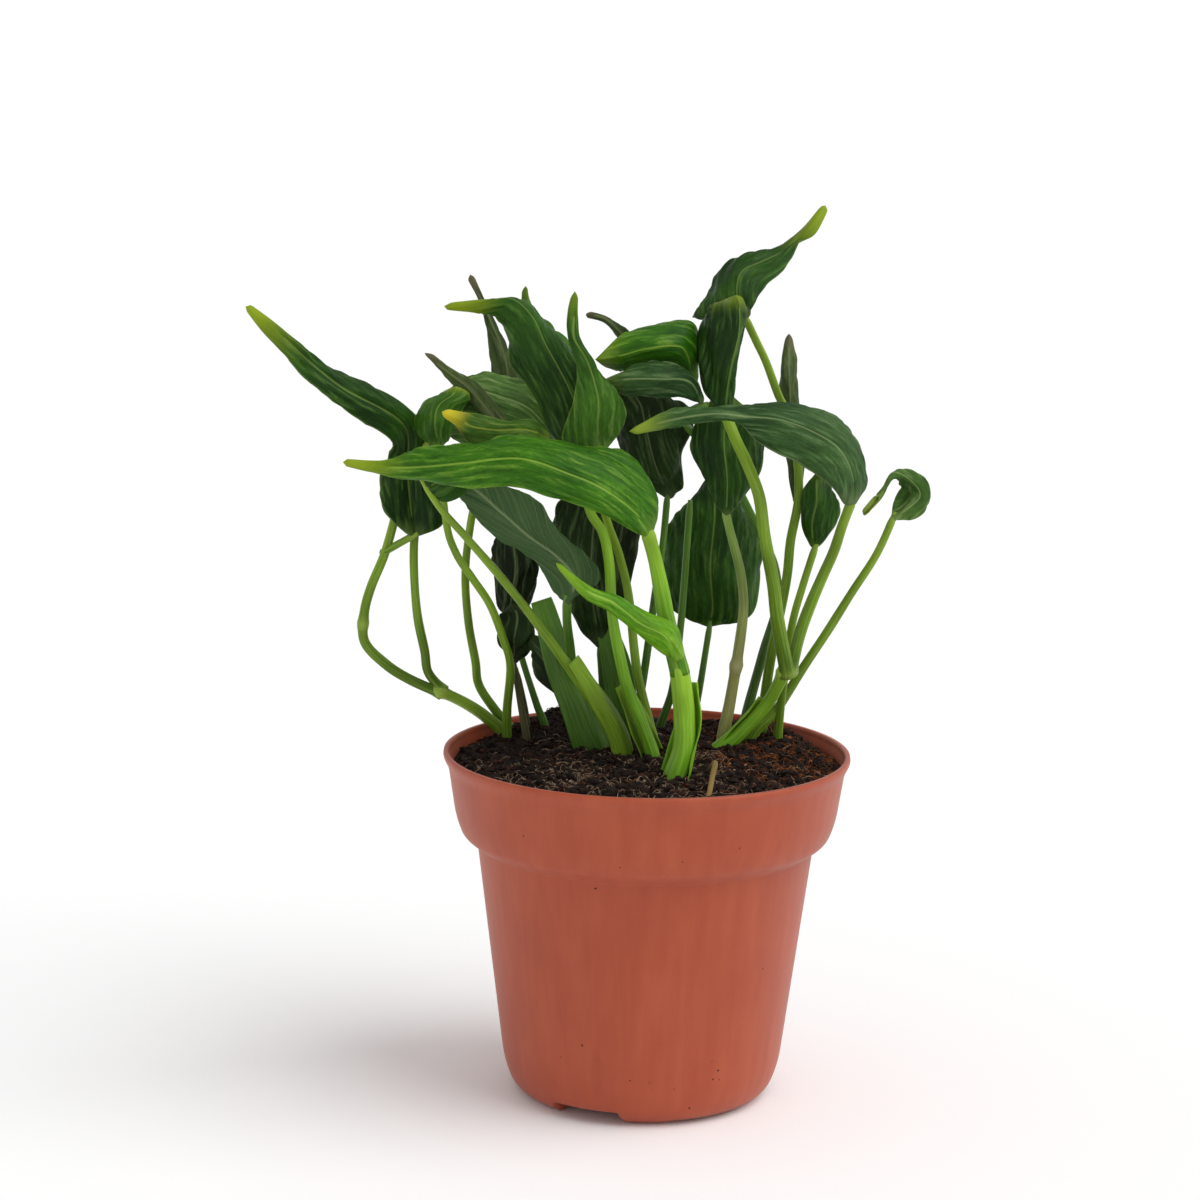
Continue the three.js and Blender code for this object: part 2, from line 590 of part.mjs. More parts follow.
function soilHeight(x, y) {
  const fade = 1 - Math.min(1, Math.hypot(x, y) / (RIM_RADIUS - 2)) ** 6;
  const heap = ({ x: hx, y: hy, height, spread }) =>
    height * Math.exp(-((x - hx) ** 2 + (y - hy) ** 2) / (2 * spread ** 2));
  const heaps = SOIL_HEAPS.reduce((sum, each) => sum + heap(each), 0);
  const ripple = 0.5 * Math.sin(x / 6 + 1) * Math.cos(y / 5);
  return SOIL_LEVEL + fade * (heaps + ripple);
}

function makeSoil(swollenStems) {
  const wall = innerWall().map(([r, z]) => [r - SOIL_GAP, z]);
  const bottom = FLOOR_RAISE + WALL + SOIL_GAP;
  wall[0][1] = bottom;
  const profile = [[0, bottom], ...wall.slice(0, -1), [RIM_RADIUS - 2.9, SOIL_LEVEL]];
  for (const radius of [50, 41, 32, 22, 11, 0]) profile.push([radius, SOIL_LEVEL]);
  const lathe = new THREE.LatheGeometry(profile.map(([r, z]) => new THREE.Vector2(r, z)), 32);
  lathe.rotateX(Math.PI / 2);
  const position = lathe.attributes.position;
  for (let i = 0; i < position.count; i++) {
    if (Math.abs(position.getZ(i) - SOIL_LEVEL) > 0.01) continue;
    position.setZ(i, soilHeight(position.getX(i), position.getY(i)));
  }
  return clearOf(solidOf(lathe), swollenStems);
}

// ---- Stems, petioles and the root ------------------------------------------

function makeStem({ path, radius: [foot, end] }, swell = 0) {
  const curve = new THREE.CatmullRomCurve3(path.map(point));
  const steps = Math.round((path.length - 1) * STEM_STEPS_PER_POINT);
  const { normals, binormals } = curve.computeFrenetFrames(steps);
  const rings = [];
  for (let step = 0; step <= steps; step++) {
    const share = step / steps;
    const centre = curve.getPointAt(share);
    const radius = foot + (end - foot) * share + swell;
    const ring = [];
    for (let side = 0; side < STEM_SIDES; side++) {
      const angle = (side / STEM_SIDES) * 2 * Math.PI;
      const spoke = normals[step].clone().multiplyScalar(Math.cos(angle));
      spoke.addScaledVector(binormals[step], Math.sin(angle));
      ring.push(centre.clone().addScaledVector(spoke, radius));
    }
    rings.push(ring);
  }
  return loft(rings);
}

// ---- Leaf blades -----------------------------------------------------------

// One half of a row: points from the midrib out to the margin, with the local normal.
function halfRow(midrib, margin, ahead, side, sign) {
  const across = margin.clone().sub(midrib);
  if (across.length() < NARROWEST_HALF) across.copy(side).multiplyScalar(sign * NARROWEST_HALF);
  const normal = across.clone().cross(ahead).multiplyScalar(sign).normalize();
  const arch = BLADE_BULGE * across.length();
  return [0, 0.5, 1].map((share) => ({
    at: midrib.clone().addScaledVector(across, share).addScaledVector(normal, arch * 4 * share * (1 - share)),
    normal,
  }));
}

function makeBlade(rows, swell = 0) {
  const [left, midrib, right] = [0, 1, 2].map(
    (column) => new THREE.CatmullRomCurve3(rows.map((row) => point(row[column])), false, "catmullrom"),
  );
  const middleSide = right.getPoint(0.5).sub(left.getPoint(0.5)).normalize();
  const rings = [];
  let side = middleSide;
  for (let step = 0; step <= BLADE_STEPS; step++) {
    const share = step / BLADE_STEPS;
    const ahead = midrib.getTangent(share);
    const span = right.getPoint(share).sub(left.getPoint(share));
    if (span.length() > 2 * NARROWEST_HALF) side = span.normalize();
    const rib = midrib.getPoint(share);
    const leftHalf = halfRow(rib, left.getPoint(share), ahead, side, -1);
    const rightHalf = halfRow(rib, right.getPoint(share), ahead, side, 1);
    const ribNormal = leftHalf[0].normal.clone().add(rightHalf[0].normal).normalize();
    const row = [leftHalf[2], leftHalf[1], { at: rib, normal: ribNormal }, rightHalf[1], rightHalf[2]];
    const offset = BLADE_THICKNESS / 2 + swell;
    const upper = row.map(({ at, normal }) => at.clone().addScaledVector(normal, offset));
    const lower = row.map(({ at, normal }) => at.clone().addScaledVector(normal, -offset));
    rings.push([...upper, ...lower.reverse()]);
  }
  return loft(rings);
}

// ---- Putting the plant in its pot ------------------------------------------

function materialOf(name) {
  if (name === "pot" || name === "soil") return COLOURS[name];
  if (name === "aerial_root") return COLOURS.root;
  if (YOUNG_LEAVES.includes(name)) return COLOURS.youngLeaf;
  return name.startsWith("leaf") ? COLOURS.leaf : COLOURS.stem;
}

function addPiece(group, name, solid) {
  const mesh = new THREE.Mesh(geometryOf(solid), new THREE.MeshStandardMaterial(materialOf(name)));
  mesh.name = name;
  group.add(mesh);
}

function assemble() {
  const group = new THREE.Group();
  const swollen = [];
  addPiece(group, "pot", makePot());
  for (const [name, stem] of Object.entries(STEMS)) {
    addPiece(group, name, clearOf(makeStem(stem), swollen));
    swollen.push(makeStem(stem, GAP));
  }
  addPiece(group, "soil", makeSoil(swollen));
  for (const [name, rows] of Object.entries(BLADES)) {
    addPiece(group, name, clearOf(makeBlade(rows), swollen));
    swollen.push(makeBlade(rows, GAP));
  }
  return group;
}

export default assemble();
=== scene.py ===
# A young pothos with drooping, folded leaves in a 12 cm terracotta-coloured nursery pot.
# The sections follow the order of potting: the pot, the mix, the stems and stalks, the
# leaves, and last the plain studio that it stands in.
import math
import random

import bpy
from mathutils import Matrix, Vector, noise


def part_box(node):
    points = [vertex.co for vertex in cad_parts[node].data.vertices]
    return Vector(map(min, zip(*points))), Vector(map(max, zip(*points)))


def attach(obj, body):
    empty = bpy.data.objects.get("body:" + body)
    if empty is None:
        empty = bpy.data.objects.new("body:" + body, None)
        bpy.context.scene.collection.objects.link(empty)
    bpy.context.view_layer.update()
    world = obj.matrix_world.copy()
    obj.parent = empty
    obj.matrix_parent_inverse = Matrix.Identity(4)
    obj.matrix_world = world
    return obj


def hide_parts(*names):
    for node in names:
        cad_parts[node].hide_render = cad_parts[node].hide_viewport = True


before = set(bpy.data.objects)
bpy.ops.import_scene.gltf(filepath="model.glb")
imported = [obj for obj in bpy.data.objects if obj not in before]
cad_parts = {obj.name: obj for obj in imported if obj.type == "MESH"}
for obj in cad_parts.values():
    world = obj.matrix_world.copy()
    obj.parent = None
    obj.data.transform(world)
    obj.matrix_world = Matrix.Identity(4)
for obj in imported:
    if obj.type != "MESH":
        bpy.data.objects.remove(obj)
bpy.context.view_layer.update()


# ---- Nursery pot ------------------------------------------------------------------
# A 12 cm round pot, injection moulded in one shot from pigmented polypropylene. The wall
# is little more than 1 mm thick. A tall collar with a thin lip stiffens the mouth, and
# the foot ring is notched so that water can run out from under the pot.
MM = 0.001
_, pot_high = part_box("pot")
LIP_RADIUS = pot_high.x / MM
POT_HEIGHT = pot_high.z / MM
POT_WALL = 1.2
FLOOR_RAISE = 3
FOOT_RADIUS = 34.2
FOOT_WIDTH = 2.6
BODY_LOW_RADIUS = 41.2
BODY_TOP_RADIUS = 49.7
SHOULDER_HEIGHT = 75.5  # where the body meets the rounded shoulder of the collar
NOTCHES = 3
NOTCH_CENTRE = math.radians(-26)  # from the front, towards -X
NOTCH_HALF = math.radians(16.5)
LUG_WIDTH = math.radians(23)
NOTCH_HEIGHT = 4.5
LUG_HEIGHT = 1.3
NOTCH_SLOPE = math.radians(3)  # the notch's sides lean by about this much
DRAIN_HOLES = 6
DRAIN_RADIUS = 4
DRAIN_RING = 22
POT_SEGMENTS = 264


def linear(hex_colour):
    """An sRGB hex colour as linear red, green, blue and alpha."""
    parts = [int(hex_colour[i : i + 2], 16) / 255 for i in (1, 3, 5)]
    return [c / 12.92 if c <= 0.04045 else ((c + 0.055) / 1.055) ** 2.4 for c in parts] + [1.0]


def add(tree, kind, inputs=None, **settings):
    """Adds a node with its settings. An input is a value or the socket that feeds it."""
    node = tree.nodes.new(kind)
    for key, value in settings.items():
        setattr(node, key, value)
    for key, value in (inputs or {}).items():
        if isinstance(value, bpy.types.NodeSocket):
            tree.links.new(value, node.inputs[key])
        else:
            node.inputs[key].default_value = value
    return node


def new_material(name):
    """An empty node material: its tree and its output node."""
    material = bpy.data.materials.new(name)
    material.use_nodes = True
    material.node_tree.nodes.clear()
    return material, material.node_tree, material.node_tree.nodes.new("ShaderNodeOutputMaterial")


def smooth(low, high, value):
    """Rises smoothly from 0 at low to 1 at high."""
    share = min(max((value - low) / (high - low), 0), 1)
    return share * share * (3 - 2 * share)


def new_piece(name, points, faces, materials, face_materials=None, uv_maps=None):
    """A smooth-shaded mesh object from points in millimetres. uv_maps gives a pair per point."""
    mesh = bpy.data.meshes.new(name)
    mesh.from_pydata([(x * MM, y * MM, z * MM) for x, y, z in points], [], faces)
    for material in materials:
        mesh.materials.append(material)
    if face_materials:
        mesh.polygons.foreach_set("material_index", face_materials)
    for uv_name, pairs in (uv_maps or {}).items():
        layer = mesh.uv_layers.new(name=uv_name)
        corners = [c for loop in mesh.loops for c in pairs[loop.vertex_index]]
        layer.uv.foreach_set("vector", corners)
    mesh.polygons.foreach_set("use_smooth", [True] * len(mesh.polygons))
    mesh.update()
    piece = bpy.data.objects.new(name, mesh)
    bpy.context.scene.collection.objects.link(piece)
    return piece


def rounded(corners, steps=5):
    """A profile through (radius, height, fillet) corners, each fillet a short smooth curve."""
    profile = []
    for i, (r, z, fillet) in enumerate(corners):
        here = Vector((r, z))
        if fillet == 0 or i in (0, len(corners) - 1):
            profile.append(here)
            continue
        before = Vector(corners[i - 1][:2]) - here
        after = Vector(corners[i + 1][:2]) - here
        start = here + before * min(fillet / before.length, 0.49)
        end = here + after * min(fillet / after.length, 0.49)
        for k in range(steps + 1):
            t = k / steps
            profile.append(start * (1 - t) ** 2 + here * 2 * t * (1 - t) + end * t * t)
    return profile


def foot_height(angle):
    """The height of the foot's lower edge at an angle from the front: lugs, notches, rests."""
    period = math.tau / NOTCHES
    away = abs((angle - NOTCH_CENTRE + period / 2) % period - period / 2)
    in_notch = 1 - smooth(NOTCH_HALF - NOTCH_SLOPE / 2, NOTCH_HALF + NOTCH_SLOPE / 2, away)
    lug_end = NOTCH_HALF + LUG_WIDTH
    past_lug = smooth(lug_end - NOTCH_SLOPE, lug_end + NOTCH_SLOPE, away)
    return NOTCH_HEIGHT * in_notch + LUG_HEIGHT * past_lug


outside = [
    (0, 0, 0), (8, 0, 0.6), (8.6, FLOOR_RAISE, 0.6), (31, FLOOR_RAISE, 0.6),
    (FOOT_RADIUS - FOOT_WIDTH, 0, 0.5), (FOOT_RADIUS, 0, 0.9), (38.6, 2.6, 2.6),
    (BODY_LOW_RADIUS, 9.5, 4), (BODY_TOP_RADIUS, SHOULDER_HEIGHT, 0.5),
    (54.2, SHOULDER_HEIGHT + 3.2, 1.6), (56.2, SHOULDER_HEIGHT + 8.5, 3.5),
    (58.4, POT_HEIGHT - 4.4, 2), (LIP_RADIUS - 0.5, POT_HEIGHT - 2.4, 0.9),
    (LIP_RADIUS, POT_HEIGHT - 1.2, 0.5), (LIP_RADIUS - 0.2, POT_HEIGHT, 0.5),
]
inside = [
    (0, FLOOR_RAISE + POT_WALL, 0), (36.6, FLOOR_RAISE + POT_WALL, 1.5), (39.9, 10.2, 3),
    (BODY_TOP_RADIUS - POT_WALL, SHOULDER_HEIGHT + 1, 0.8), (53, SHOULDER_HEIGHT + 4.4, 1.4),
    (55, SHOULDER_HEIGHT + 9.4, 3), (57.2, POT_HEIGHT - 4.2, 2),
    (LIP_RADIUS - 1.7, POT_HEIGHT - 1.5, 0.6), (LIP_RADIUS - 1.5, POT_HEIGHT, 0.5),
]
profile = rounded(outside) + rounded(inside[::-1])
pot_points = [(0, 0, 0)]
for p in profile[1:-1]:
    for segment in range(POT_SEGMENTS):
        angle = math.tau * segment / POT_SEGMENTS
        foot = foot_height(angle) if p.x > 20 and p.y < FLOOR_RAISE + POT_WALL else 0
        z = max(p.y, min(foot, FLOOR_RAISE + 0.2) if p.x < FOOT_RADIUS - FOOT_WIDTH / 2 else foot)
        pot_points.append((p.x * math.sin(angle), -p.x * math.cos(angle), z))
pot_points.append((0, 0, FLOOR_RAISE + POT_WALL))
pot_faces = []
for ring in range(len(profile) - 3):
    for segment in range(POT_SEGMENTS):
        a = 1 + ring * POT_SEGMENTS + segment
        b = 1 + ring * POT_SEGMENTS + (segment + 1) % POT_SEGMENTS
        pot_faces.append((a, b, b + POT_SEGMENTS, a + POT_SEGMENTS))
last_ring = 1 + (len(profile) - 3) * POT_SEGMENTS
for segment in range(POT_SEGMENTS):
    after = (segment + 1) % POT_SEGMENTS
    pot_faces.append((0, 1 + after, 1 + segment))
    pot_faces.append((last_ring + segment, last_ring + after, len(pot_points) - 1))


def terracotta_polypropylene():
    """Moulded polypropylene: a soft satin skin that turns pale and pinkish at a glancing
    look, with faint upright flow streaks and a fine moulded grain."""
    material, tree, output = new_material("terracotta_polypropylene")
    place = add(tree, "ShaderNodeTexCoord").outputs["Object"]
    # Flow streaks are about 4 mm wide round the pot and run most of its height.
    stretched = add(tree, "ShaderNodeMapping", {"Vector": place, "Scale": (250, 250, 14)})
    streaks = add(tree, "ShaderNodeTexNoise", {"Vector": stretched.outputs[0], "Scale": 1.0, "Detail": 3.0})
    clouds = add(tree, "ShaderNodeTexNoise", {"Vector": place, "Scale": 38.0, "Detail": 2.0})
    mottle = add(tree, "ShaderNodeMath", {0: streaks.outputs[0], 1: clouds.outputs[0]},
                 operation="MULTIPLY")
    shift = add(tree, "ShaderNodeMapRange", {"Value": mottle.outputs[0], "From Min": 0.12, "From Max": 0.4})
    colour = add(tree, "ShaderNodeMix", {0: shift.outputs[0], 6: linear("#9f452b"), 7: linear("#aa5033")},
                 data_type="RGBA")
    # The grain is about 0.4 mm, drawn twice as coarse as it is, so that it shows.
    grain = add(tree, "ShaderNodeTexNoise", {"Vector": place, "Scale": 1300.0, "Detail": 2.0})
    bump = add(tree, "ShaderNodeBump", {"Height": grain.outputs[0], "Strength": 0.12, "Distance": 0.0002})
    rough = add(tree, "ShaderNodeMapRange", {"Value": clouds.outputs[0], "To Min": 0.42, "To Max": 0.54})
    shader = add(tree, "ShaderNodeBsdfPrincipled", {
        "Base Color": colour.outputs[2], "Roughness": rough.outputs[0], "Normal": bump.outputs[0],
        "IOR": 1.49, "Specular IOR Level": 0.3, "Sheen Weight": 0.06, "Sheen Roughness": 0.5})
    tree.links.new(shader.outputs[0], output.inputs["Surface"])
    return material


pot_plastic = terracotta_polypropylene()
pot = new_piece("nursery_pot", pot_points, pot_faces, [pot_plastic])
drill_points, drill_faces = [], []
DRILL_SIDES = 32
for hole in range(DRAIN_HOLES):
    hole_angle = math.tau * (hole + 0.5) / DRAIN_HOLES
    first = len(drill_points)
    for z in (FLOOR_RAISE - 2, FLOOR_RAISE + POT_WALL + 1):
        for side in range(DRILL_SIDES):
            turn = math.tau * side / DRILL_SIDES
            drill_points.append((DRAIN_RING * math.sin(hole_angle) + DRAIN_RADIUS * math.cos(turn),
                                 -DRAIN_RING * math.cos(hole_angle) + DRAIN_RADIUS * math.sin(turn), z))
    drill_faces.append(tuple(first + i for i in reversed(range(DRILL_SIDES))))
    drill_faces.append(tuple(first + DRILL_SIDES + i for i in range(DRILL_SIDES)))
    for i in range(DRILL_SIDES):
        j = (i + 1) % DRILL_SIDES
        drill_faces.append((first + i, first + j, first + DRILL_SIDES + j, first + DRILL_SIDES + i))
drill = new_piece("drain_hole_drill", drill_points, drill_faces, [])
cut = pot.modifiers.new("drain_holes", "BOOLEAN")
cut.object = drill
cut.operation = "DIFFERENCE"
cut.solver = "EXACT"
bpy.context.view_layer.objects.active = pot
bpy.ops.object.modifier_apply(modifier=cut.name)
bpy.data.objects.remove(drill)
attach(pot, "root")
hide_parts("pot")


# ---- Moulding specks ----------------------------------------------------------------
# Tiny pimples where bubbles rose under the skin of the plastic, and dark crumbs of mix
# that were pressed into it. Both sit low on the body, as (angle from the front in
# degrees, height, size) in millimetres.
PIMPLES = [(-34, 20, 0.5), (-18, 21, 0.5), (3, 15, 0.7), (13, 13, 0.6), (24, 19, 0.5), (28, 20, 0.5),
           (6, 27, 0.4), (-11, 16, 0.4)]
SPECKS = [(-24, 25, 0.55), (31, 17, 0.6), (29, 14.5, 0.5), (32, 14, 0.4), (20, 6, 0.6), (-17, 73.8, 0.6),
          (-5, 15.5, 0.4), (48, 46, 0.4), (-8, 82, 0.35), (10, 84, 0.35), (27, 87, 0.4), (-38, 88, 0.4)]


def wall_radius(z):
    """The radius of the pot's outside at a height."""
    for low, high in zip(profile, profile[1:]):
        if low.x > 33 and low.y <= z < high.y:
            return low.x + (high.x - low.x) * (z - low.y) / (high.y - low.y)
    return LIP_RADIUS


def blob(centre, radii, turn, rng, roughness=0.25, rings=4, sides=6):
    """A lumpy closed grain: its points and faces."""
    points = [centre + turn @ Vector((0, 0, -radii[2]))]
    for ring in range(1, rings):
        lat = math.pi * ring / rings
        for side in range(sides):
            lon = math.tau * side / sides
            size = 1 + roughness * rng.uniform(-1, 1)
            spoke = Vector((radii[0] * math.sin(lat) * math.cos(lon),
                            radii[1] * math.sin(lat) * math.sin(lon),
                            -radii[2] * math.cos(lat)))
            points.append(centre + turn @ (spoke * size))
    points.append(centre + turn @ Vector((0, 0, radii[2])))
    faces = []
    top = len(points) - 1
    for side in range(sides):
        after = (side + 1) % sides
        faces.append((0, 1 + after, 1 + side))
        for ring in range(rings - 2):
            a = 1 + ring * sides
            faces.append((a + side, a + after, a + sides + after, a + sides + side))
        last = 1 + (rings - 2) * sides
        faces.append((last + side, last + after, top))
    return points, faces


def scattered(name, grains, material):
    """Joins grains, each (points, faces), into one piece."""
    points, faces = [], []
    for grain_points, grain_faces in grains:
        first = len(points)
        points.extend(grain_points)
        faces.extend(tuple(first + i for i in face) for face in grain_faces)
    return new_piece(name, points, faces, [material])


def on_wall(marks, seed, flatness):
    rng = random.Random(seed)
    grains = []
    for degrees, z, size in marks:
        angle = math.radians(degrees)
        out = Vector((math.sin(angle), -math.cos(angle), 0))
        turn = out.to_track_quat("Z", "Y").to_matrix()
        centre = out * wall_radius(z) + Vector((0, 0, z))
        grains.append(blob(centre, (size * 0.6, size * 0.5, size * flatness), turn, rng, 0.15, 6, 10))
    return grains


def dried_mix():
    """Dried peat stuck to plastic: matt and nearly black."""
    material, tree, output = new_material("dried_mix")
    place = add(tree, "ShaderNodeTexCoord").outputs["Object"]
    patches = add(tree, "ShaderNodeTexNoise", {"Vector": place, "Scale": 900.0, "Detail": 2.0})
    colour = add(tree, "ShaderNodeMix", {0: patches.outputs[0], 6: linear("#2a0f08"), 7: linear("#5c2415")},
                 data_type="RGBA")
    shader = add(tree, "ShaderNodeBsdfPrincipled", {"Base Color": colour.outputs[2], "Roughness": 0.9})
    tree.links.new(shader.outputs[0], output.inputs["Surface"])
    return material


pimples = scattered("pot_pimples", on_wall(PIMPLES, 11, 0.4), pot_plastic)
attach(pimples, "root")
specks = scattered("pot_specks", on_wall(SPECKS, 12, 0.25), dried_mix())
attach(specks, "root")


# ---- Potting mix --------------------------------------------------------------------
# Dark peat with coir fibre, bark crumbs and a few pale bits. It was pressed in by hand,
# so it lies just under the lip, heaped a little round the stems and at the back.
SOIL_LEVEL = 100.4
SOIL_HEAPS = [(-27, 42, 5, 10), (38, 34, 4, 10), (0, 8, 2.5, 22)]  # x, y, height, spread
SOIL_RINGS = 70
SOIL_SEGMENTS = 200
WALL_GAP = 0.4


def mix_height(x, y):
    """The surface of the mix: its heaps, hand-pressed hollows and crumbs of 1 to 5 mm."""
    heaps = sum(h * math.exp(-((x - cx) ** 2 + (y - cy) ** 2) / (2 * s * s)) for cx, cy, h, s in SOIL_HEAPS)
    hollows = 1.2 * noise.noise(Vector((x / 16, y / 16, 3.1)))
    lumps = 2.4 * abs(noise.noise(Vector((x / 4.2, y / 4.2, 7.7)))) + 0.7 * noise.noise(Vector((x / 1.7,
                                                                                                y / 1.7, 1)))
    edge = smooth(57.5, 50, math.hypot(x, y))
    return SOIL_LEVEL - 0.8 + (heaps + hollows + lumps) * (0.35 + 0.65 * edge) - 1.2 * (1 - edge)


def potting_mix(name, dark, light, grain_mm, roughness=0.95):
    """Damp peat, bark or coir: matt, and mottled at the size of its own grains."""
    material, tree, output = new_material(name)
    place = add(tree, "ShaderNodeTexCoord").outputs["Object"]
    grains = add(tree, "ShaderNodeTexNoise", {"Vector": place, "Scale": 0.5 / (grain_mm * MM),
                                              "Detail": 4.0,
                                              "Roughness": 0.7})
    share = add(tree, "ShaderNodeMapRange", {"Value": grains.outputs[0], "From Min": 0.38,
                                             "From Max": 0.66})
    colour = add(tree, "ShaderNodeMix", {0: share.outputs[0], 6: linear(dark), 7: linear(light)},
                 data_type="RGBA")
    bump = add(tree, "ShaderNodeBump", {"Height": grains.outputs[0], "Strength": 0.8, "Distance": 0.0008})
    shader = add(tree, "ShaderNodeBsdfPrincipled", {
        "Base Color": colour.outputs[2], "Roughness": roughness, "Normal": bump.outputs[0],
        "Specular IOR Level": 0.25})
    tree.links.new(shader.outputs[0], output.inputs["Surface"])
    return material


soil_wall = [p for p in rounded(inside) if FLOOR_RAISE + POT_WALL < p.y < SOIL_LEVEL - 3]
mix_rim = soil_wall[-1].x - WALL_GAP + 1.2
soil_points = [(0, 0, mix_height(0, 0))]
for ring in range(1, SOIL_RINGS + 1):
    for segment in range(SOIL_SEGMENTS):
        angle = math.tau * segment / SOIL_SEGMENTS
        r = mix_rim * ring / SOIL_RINGS
        x, y = r * math.sin(angle), -r * math.cos(angle)
        soil_points.append((x, y, mix_height(x, y)))
for p in soil_wall[::-1]:
    for segment in range(SOIL_SEGMENTS):
        angle = math.tau * segment / SOIL_SEGMENTS
        r = p.x - WALL_GAP
        soil_points.append((r * math.sin(angle), -r * math.cos(angle), p.y + WALL_GAP))
soil_points.append((0, 0, soil_wall[0].y + WALL_GAP))
soil_faces = [(0, 1 + i, 1 + (i + 1) % SOIL_SEGMENTS) for i in range(SOIL_SEGMENTS)]
soil_ring_count = SOIL_RINGS + len(soil_wall)
for ring in range(soil_ring_count - 1):
    for i in range(SOIL_SEGMENTS):
        a = 1 + ring * SOIL_SEGMENTS + i
        b = 1 + ring * SOIL_SEGMENTS + (i + 1) % SOIL_SEGMENTS
        soil_faces.append((a, a + SOIL_SEGMENTS, b + SOIL_SEGMENTS, b))
low_ring = 1 + (soil_ring_count - 1) * SOIL_SEGMENTS
for i in range(SOIL_SEGMENTS):
    soil_faces.append((low_ring + i, len(soil_points) - 1, low_ring + (i + 1) % SOIL_SEGMENTS))
damp_peat = potting_mix("damp_peat", "#0a0604", "#2b1a12", 1.4)
soil = new_piece("potting_mix", soil_points, soil_faces, [damp_peat])
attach(soil, "root")
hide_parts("soil")


def scatter_spots(count, rng, reach, lean=(0, 0)):
    """Spots on the mix. lean shifts where most of them lie."""
    spots = []
    while len(spots) < count:
        x, y = rng.gauss(lean[0], reach), rng.gauss(lean[1], reach)
        if math.hypot(x, y) < mix_rim - 1.5:
            spots.append((x, y))
    return spots


def crumbs(name, count, sizes, flat, material, seed, reach=60, lean=(0, 0)):
    """Loose grains of the mix, half sunk into it."""
    rng = random.Random(seed)
    grains = []
    for x, y in scatter_spots(count, rng, reach, lean):
        size = rng.uniform(*sizes) * rng.uniform(0.5, 1)
        turn = (Matrix.Rotation(rng.uniform(0, math.tau), 3, "Z") @ Matrix.Rotation(rng.uniform(-0.8,
                                                                                                0.8), 3, "X"))
        centre = Vector((x, y, mix_height(x, y) + size * 0.12))
        radii = (size * rng.uniform(0.45, 0.9), size * 0.45, size * flat * 0.5)
        grains.append(blob(centre, radii, turn, rng, 0.35, 4, 5))
    piece = scattered(name, grains, material)
    for polygon in piece.data.polygons:
        polygon.use_smooth = False
    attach(piece, "root")


def strand(points, radius, sides=3):
    """A thin closed tube through points, tapering to both ends."""
    ring_points, faces = [], []
    for k, here in enumerate(points):
        ahead = (points[min(k + 1, len(points) - 1)] - points[max(k - 1, 0)]).normalized()
        side = ahead.cross(Vector((0.31, 0.2, 0.93))).normalized()
        up = side.cross(ahead)
        width = radius * (0.45 + 0.55 * math.sin(math.pi * (k + 0.5) / len(points)))
        for s in range(sides):
            turn = math.tau * s / sides
            ring_points.append(here + (side * math.cos(turn) + up * math.sin(turn)) * width)
    for k in range(len(points) - 1):
        for s in range(sides):
            a, b = k * sides + s, k * sides + (s + 1) % sides
            faces.append((a, b, b + sides, a + sides))
    faces.append(tuple(reversed(range(sides))))
    faces.append(tuple((len(points) - 1) * sides + s for s in range(sides)))
    return ring_points, faces


def fibres(name, count, lengths, radius, material, seed, reach=60, lean=(0, 0), curl=0.5, steps=9):
    """Coir fibres that lie on the mix in loose curls, each end tucked in."""
    rng = random.Random(seed)
    strands = []
    for x, y in scatter_spots(count, rng, reach, lean):
        length = rng.uniform(*lengths)
        heading = rng.uniform(0, math.tau)
        bend = rng.gauss(0, curl)
        hump = rng.uniform(0.1, 1.0)
        points = []
        for k in range(steps):
            if math.hypot(x, y) > mix_rim - 0.8:
                break
            lift = hump * math.sin(math.pi * k / (steps - 1))
            points.append(Vector((x, y, mix_height(x, y) + radius + lift)))
            heading += bend + rng.gauss(0, 0.22)
            x += math.cos(heading) * length / steps
            y += math.sin(heading) * length / steps
        if len(points) > 3:
            strands.append(strand(points, radius * rng.uniform(0.7, 1.2)))
    piece = scattered(name, strands, material)
    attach(piece, "root")


bark = potting_mix("composted_bark", "#1a0d08", "#4e2d20", 0.9)
rust_coir = potting_mix("rusty_coir", "#52290f", "#96552b", 0.6)
pale_coir = potting_mix("pale_coir", "#66513e", "#b89e82", 0.5)
crumbs("peat_crumbs", 1900, (0.8, 3.8), 0.8, damp_peat, 21)
crumbs("bark_crumbs", 1300, (0.7, 2.6), 0.6, bark, 22)
crumbs("rusty_bits", 260, (0.6, 2.0), 0.4, rust_coir, 23, 20, (44, 12))
crumbs("pale_bits", 900, (0.35, 1.2), 0.6, pale_coir, 24, 26, (-8, -34))
fibres("coir_fibres", 520, (5, 16), 0.16, bark, 25)
fibres("rusty_fibres", 330, (4, 12), 0.16, rust_coir, 26, 20, (42, 2))
fibres("pale_fibres", 620, (3, 12), 0.12, pale_coir, 27, 26, (-8, -32), 0.35)


# ---- Stems and stalks -----------------------------------------------------------------
# The living stems, the leaf stalks (petioles) and one aerial root, all smooth, juicy and
# faintly ribbed. Stalks are grooved along one side, swell where they join a stem or a
# blade, and stand with their feet in the mix.
STALK_SIDES = 22
STALK_STEP = 1.3
GROOVE_WIDTH = 0.55  # radians
JOINT_LENGTH = 1.7  # how far each way a joint's ring swells
SWELLING_LENGTH = 3.5  # the swelling under a blade
FLARE_LENGTH = 18  # over which a foot thins to its stalk
WOBBLE_LENGTH = 14


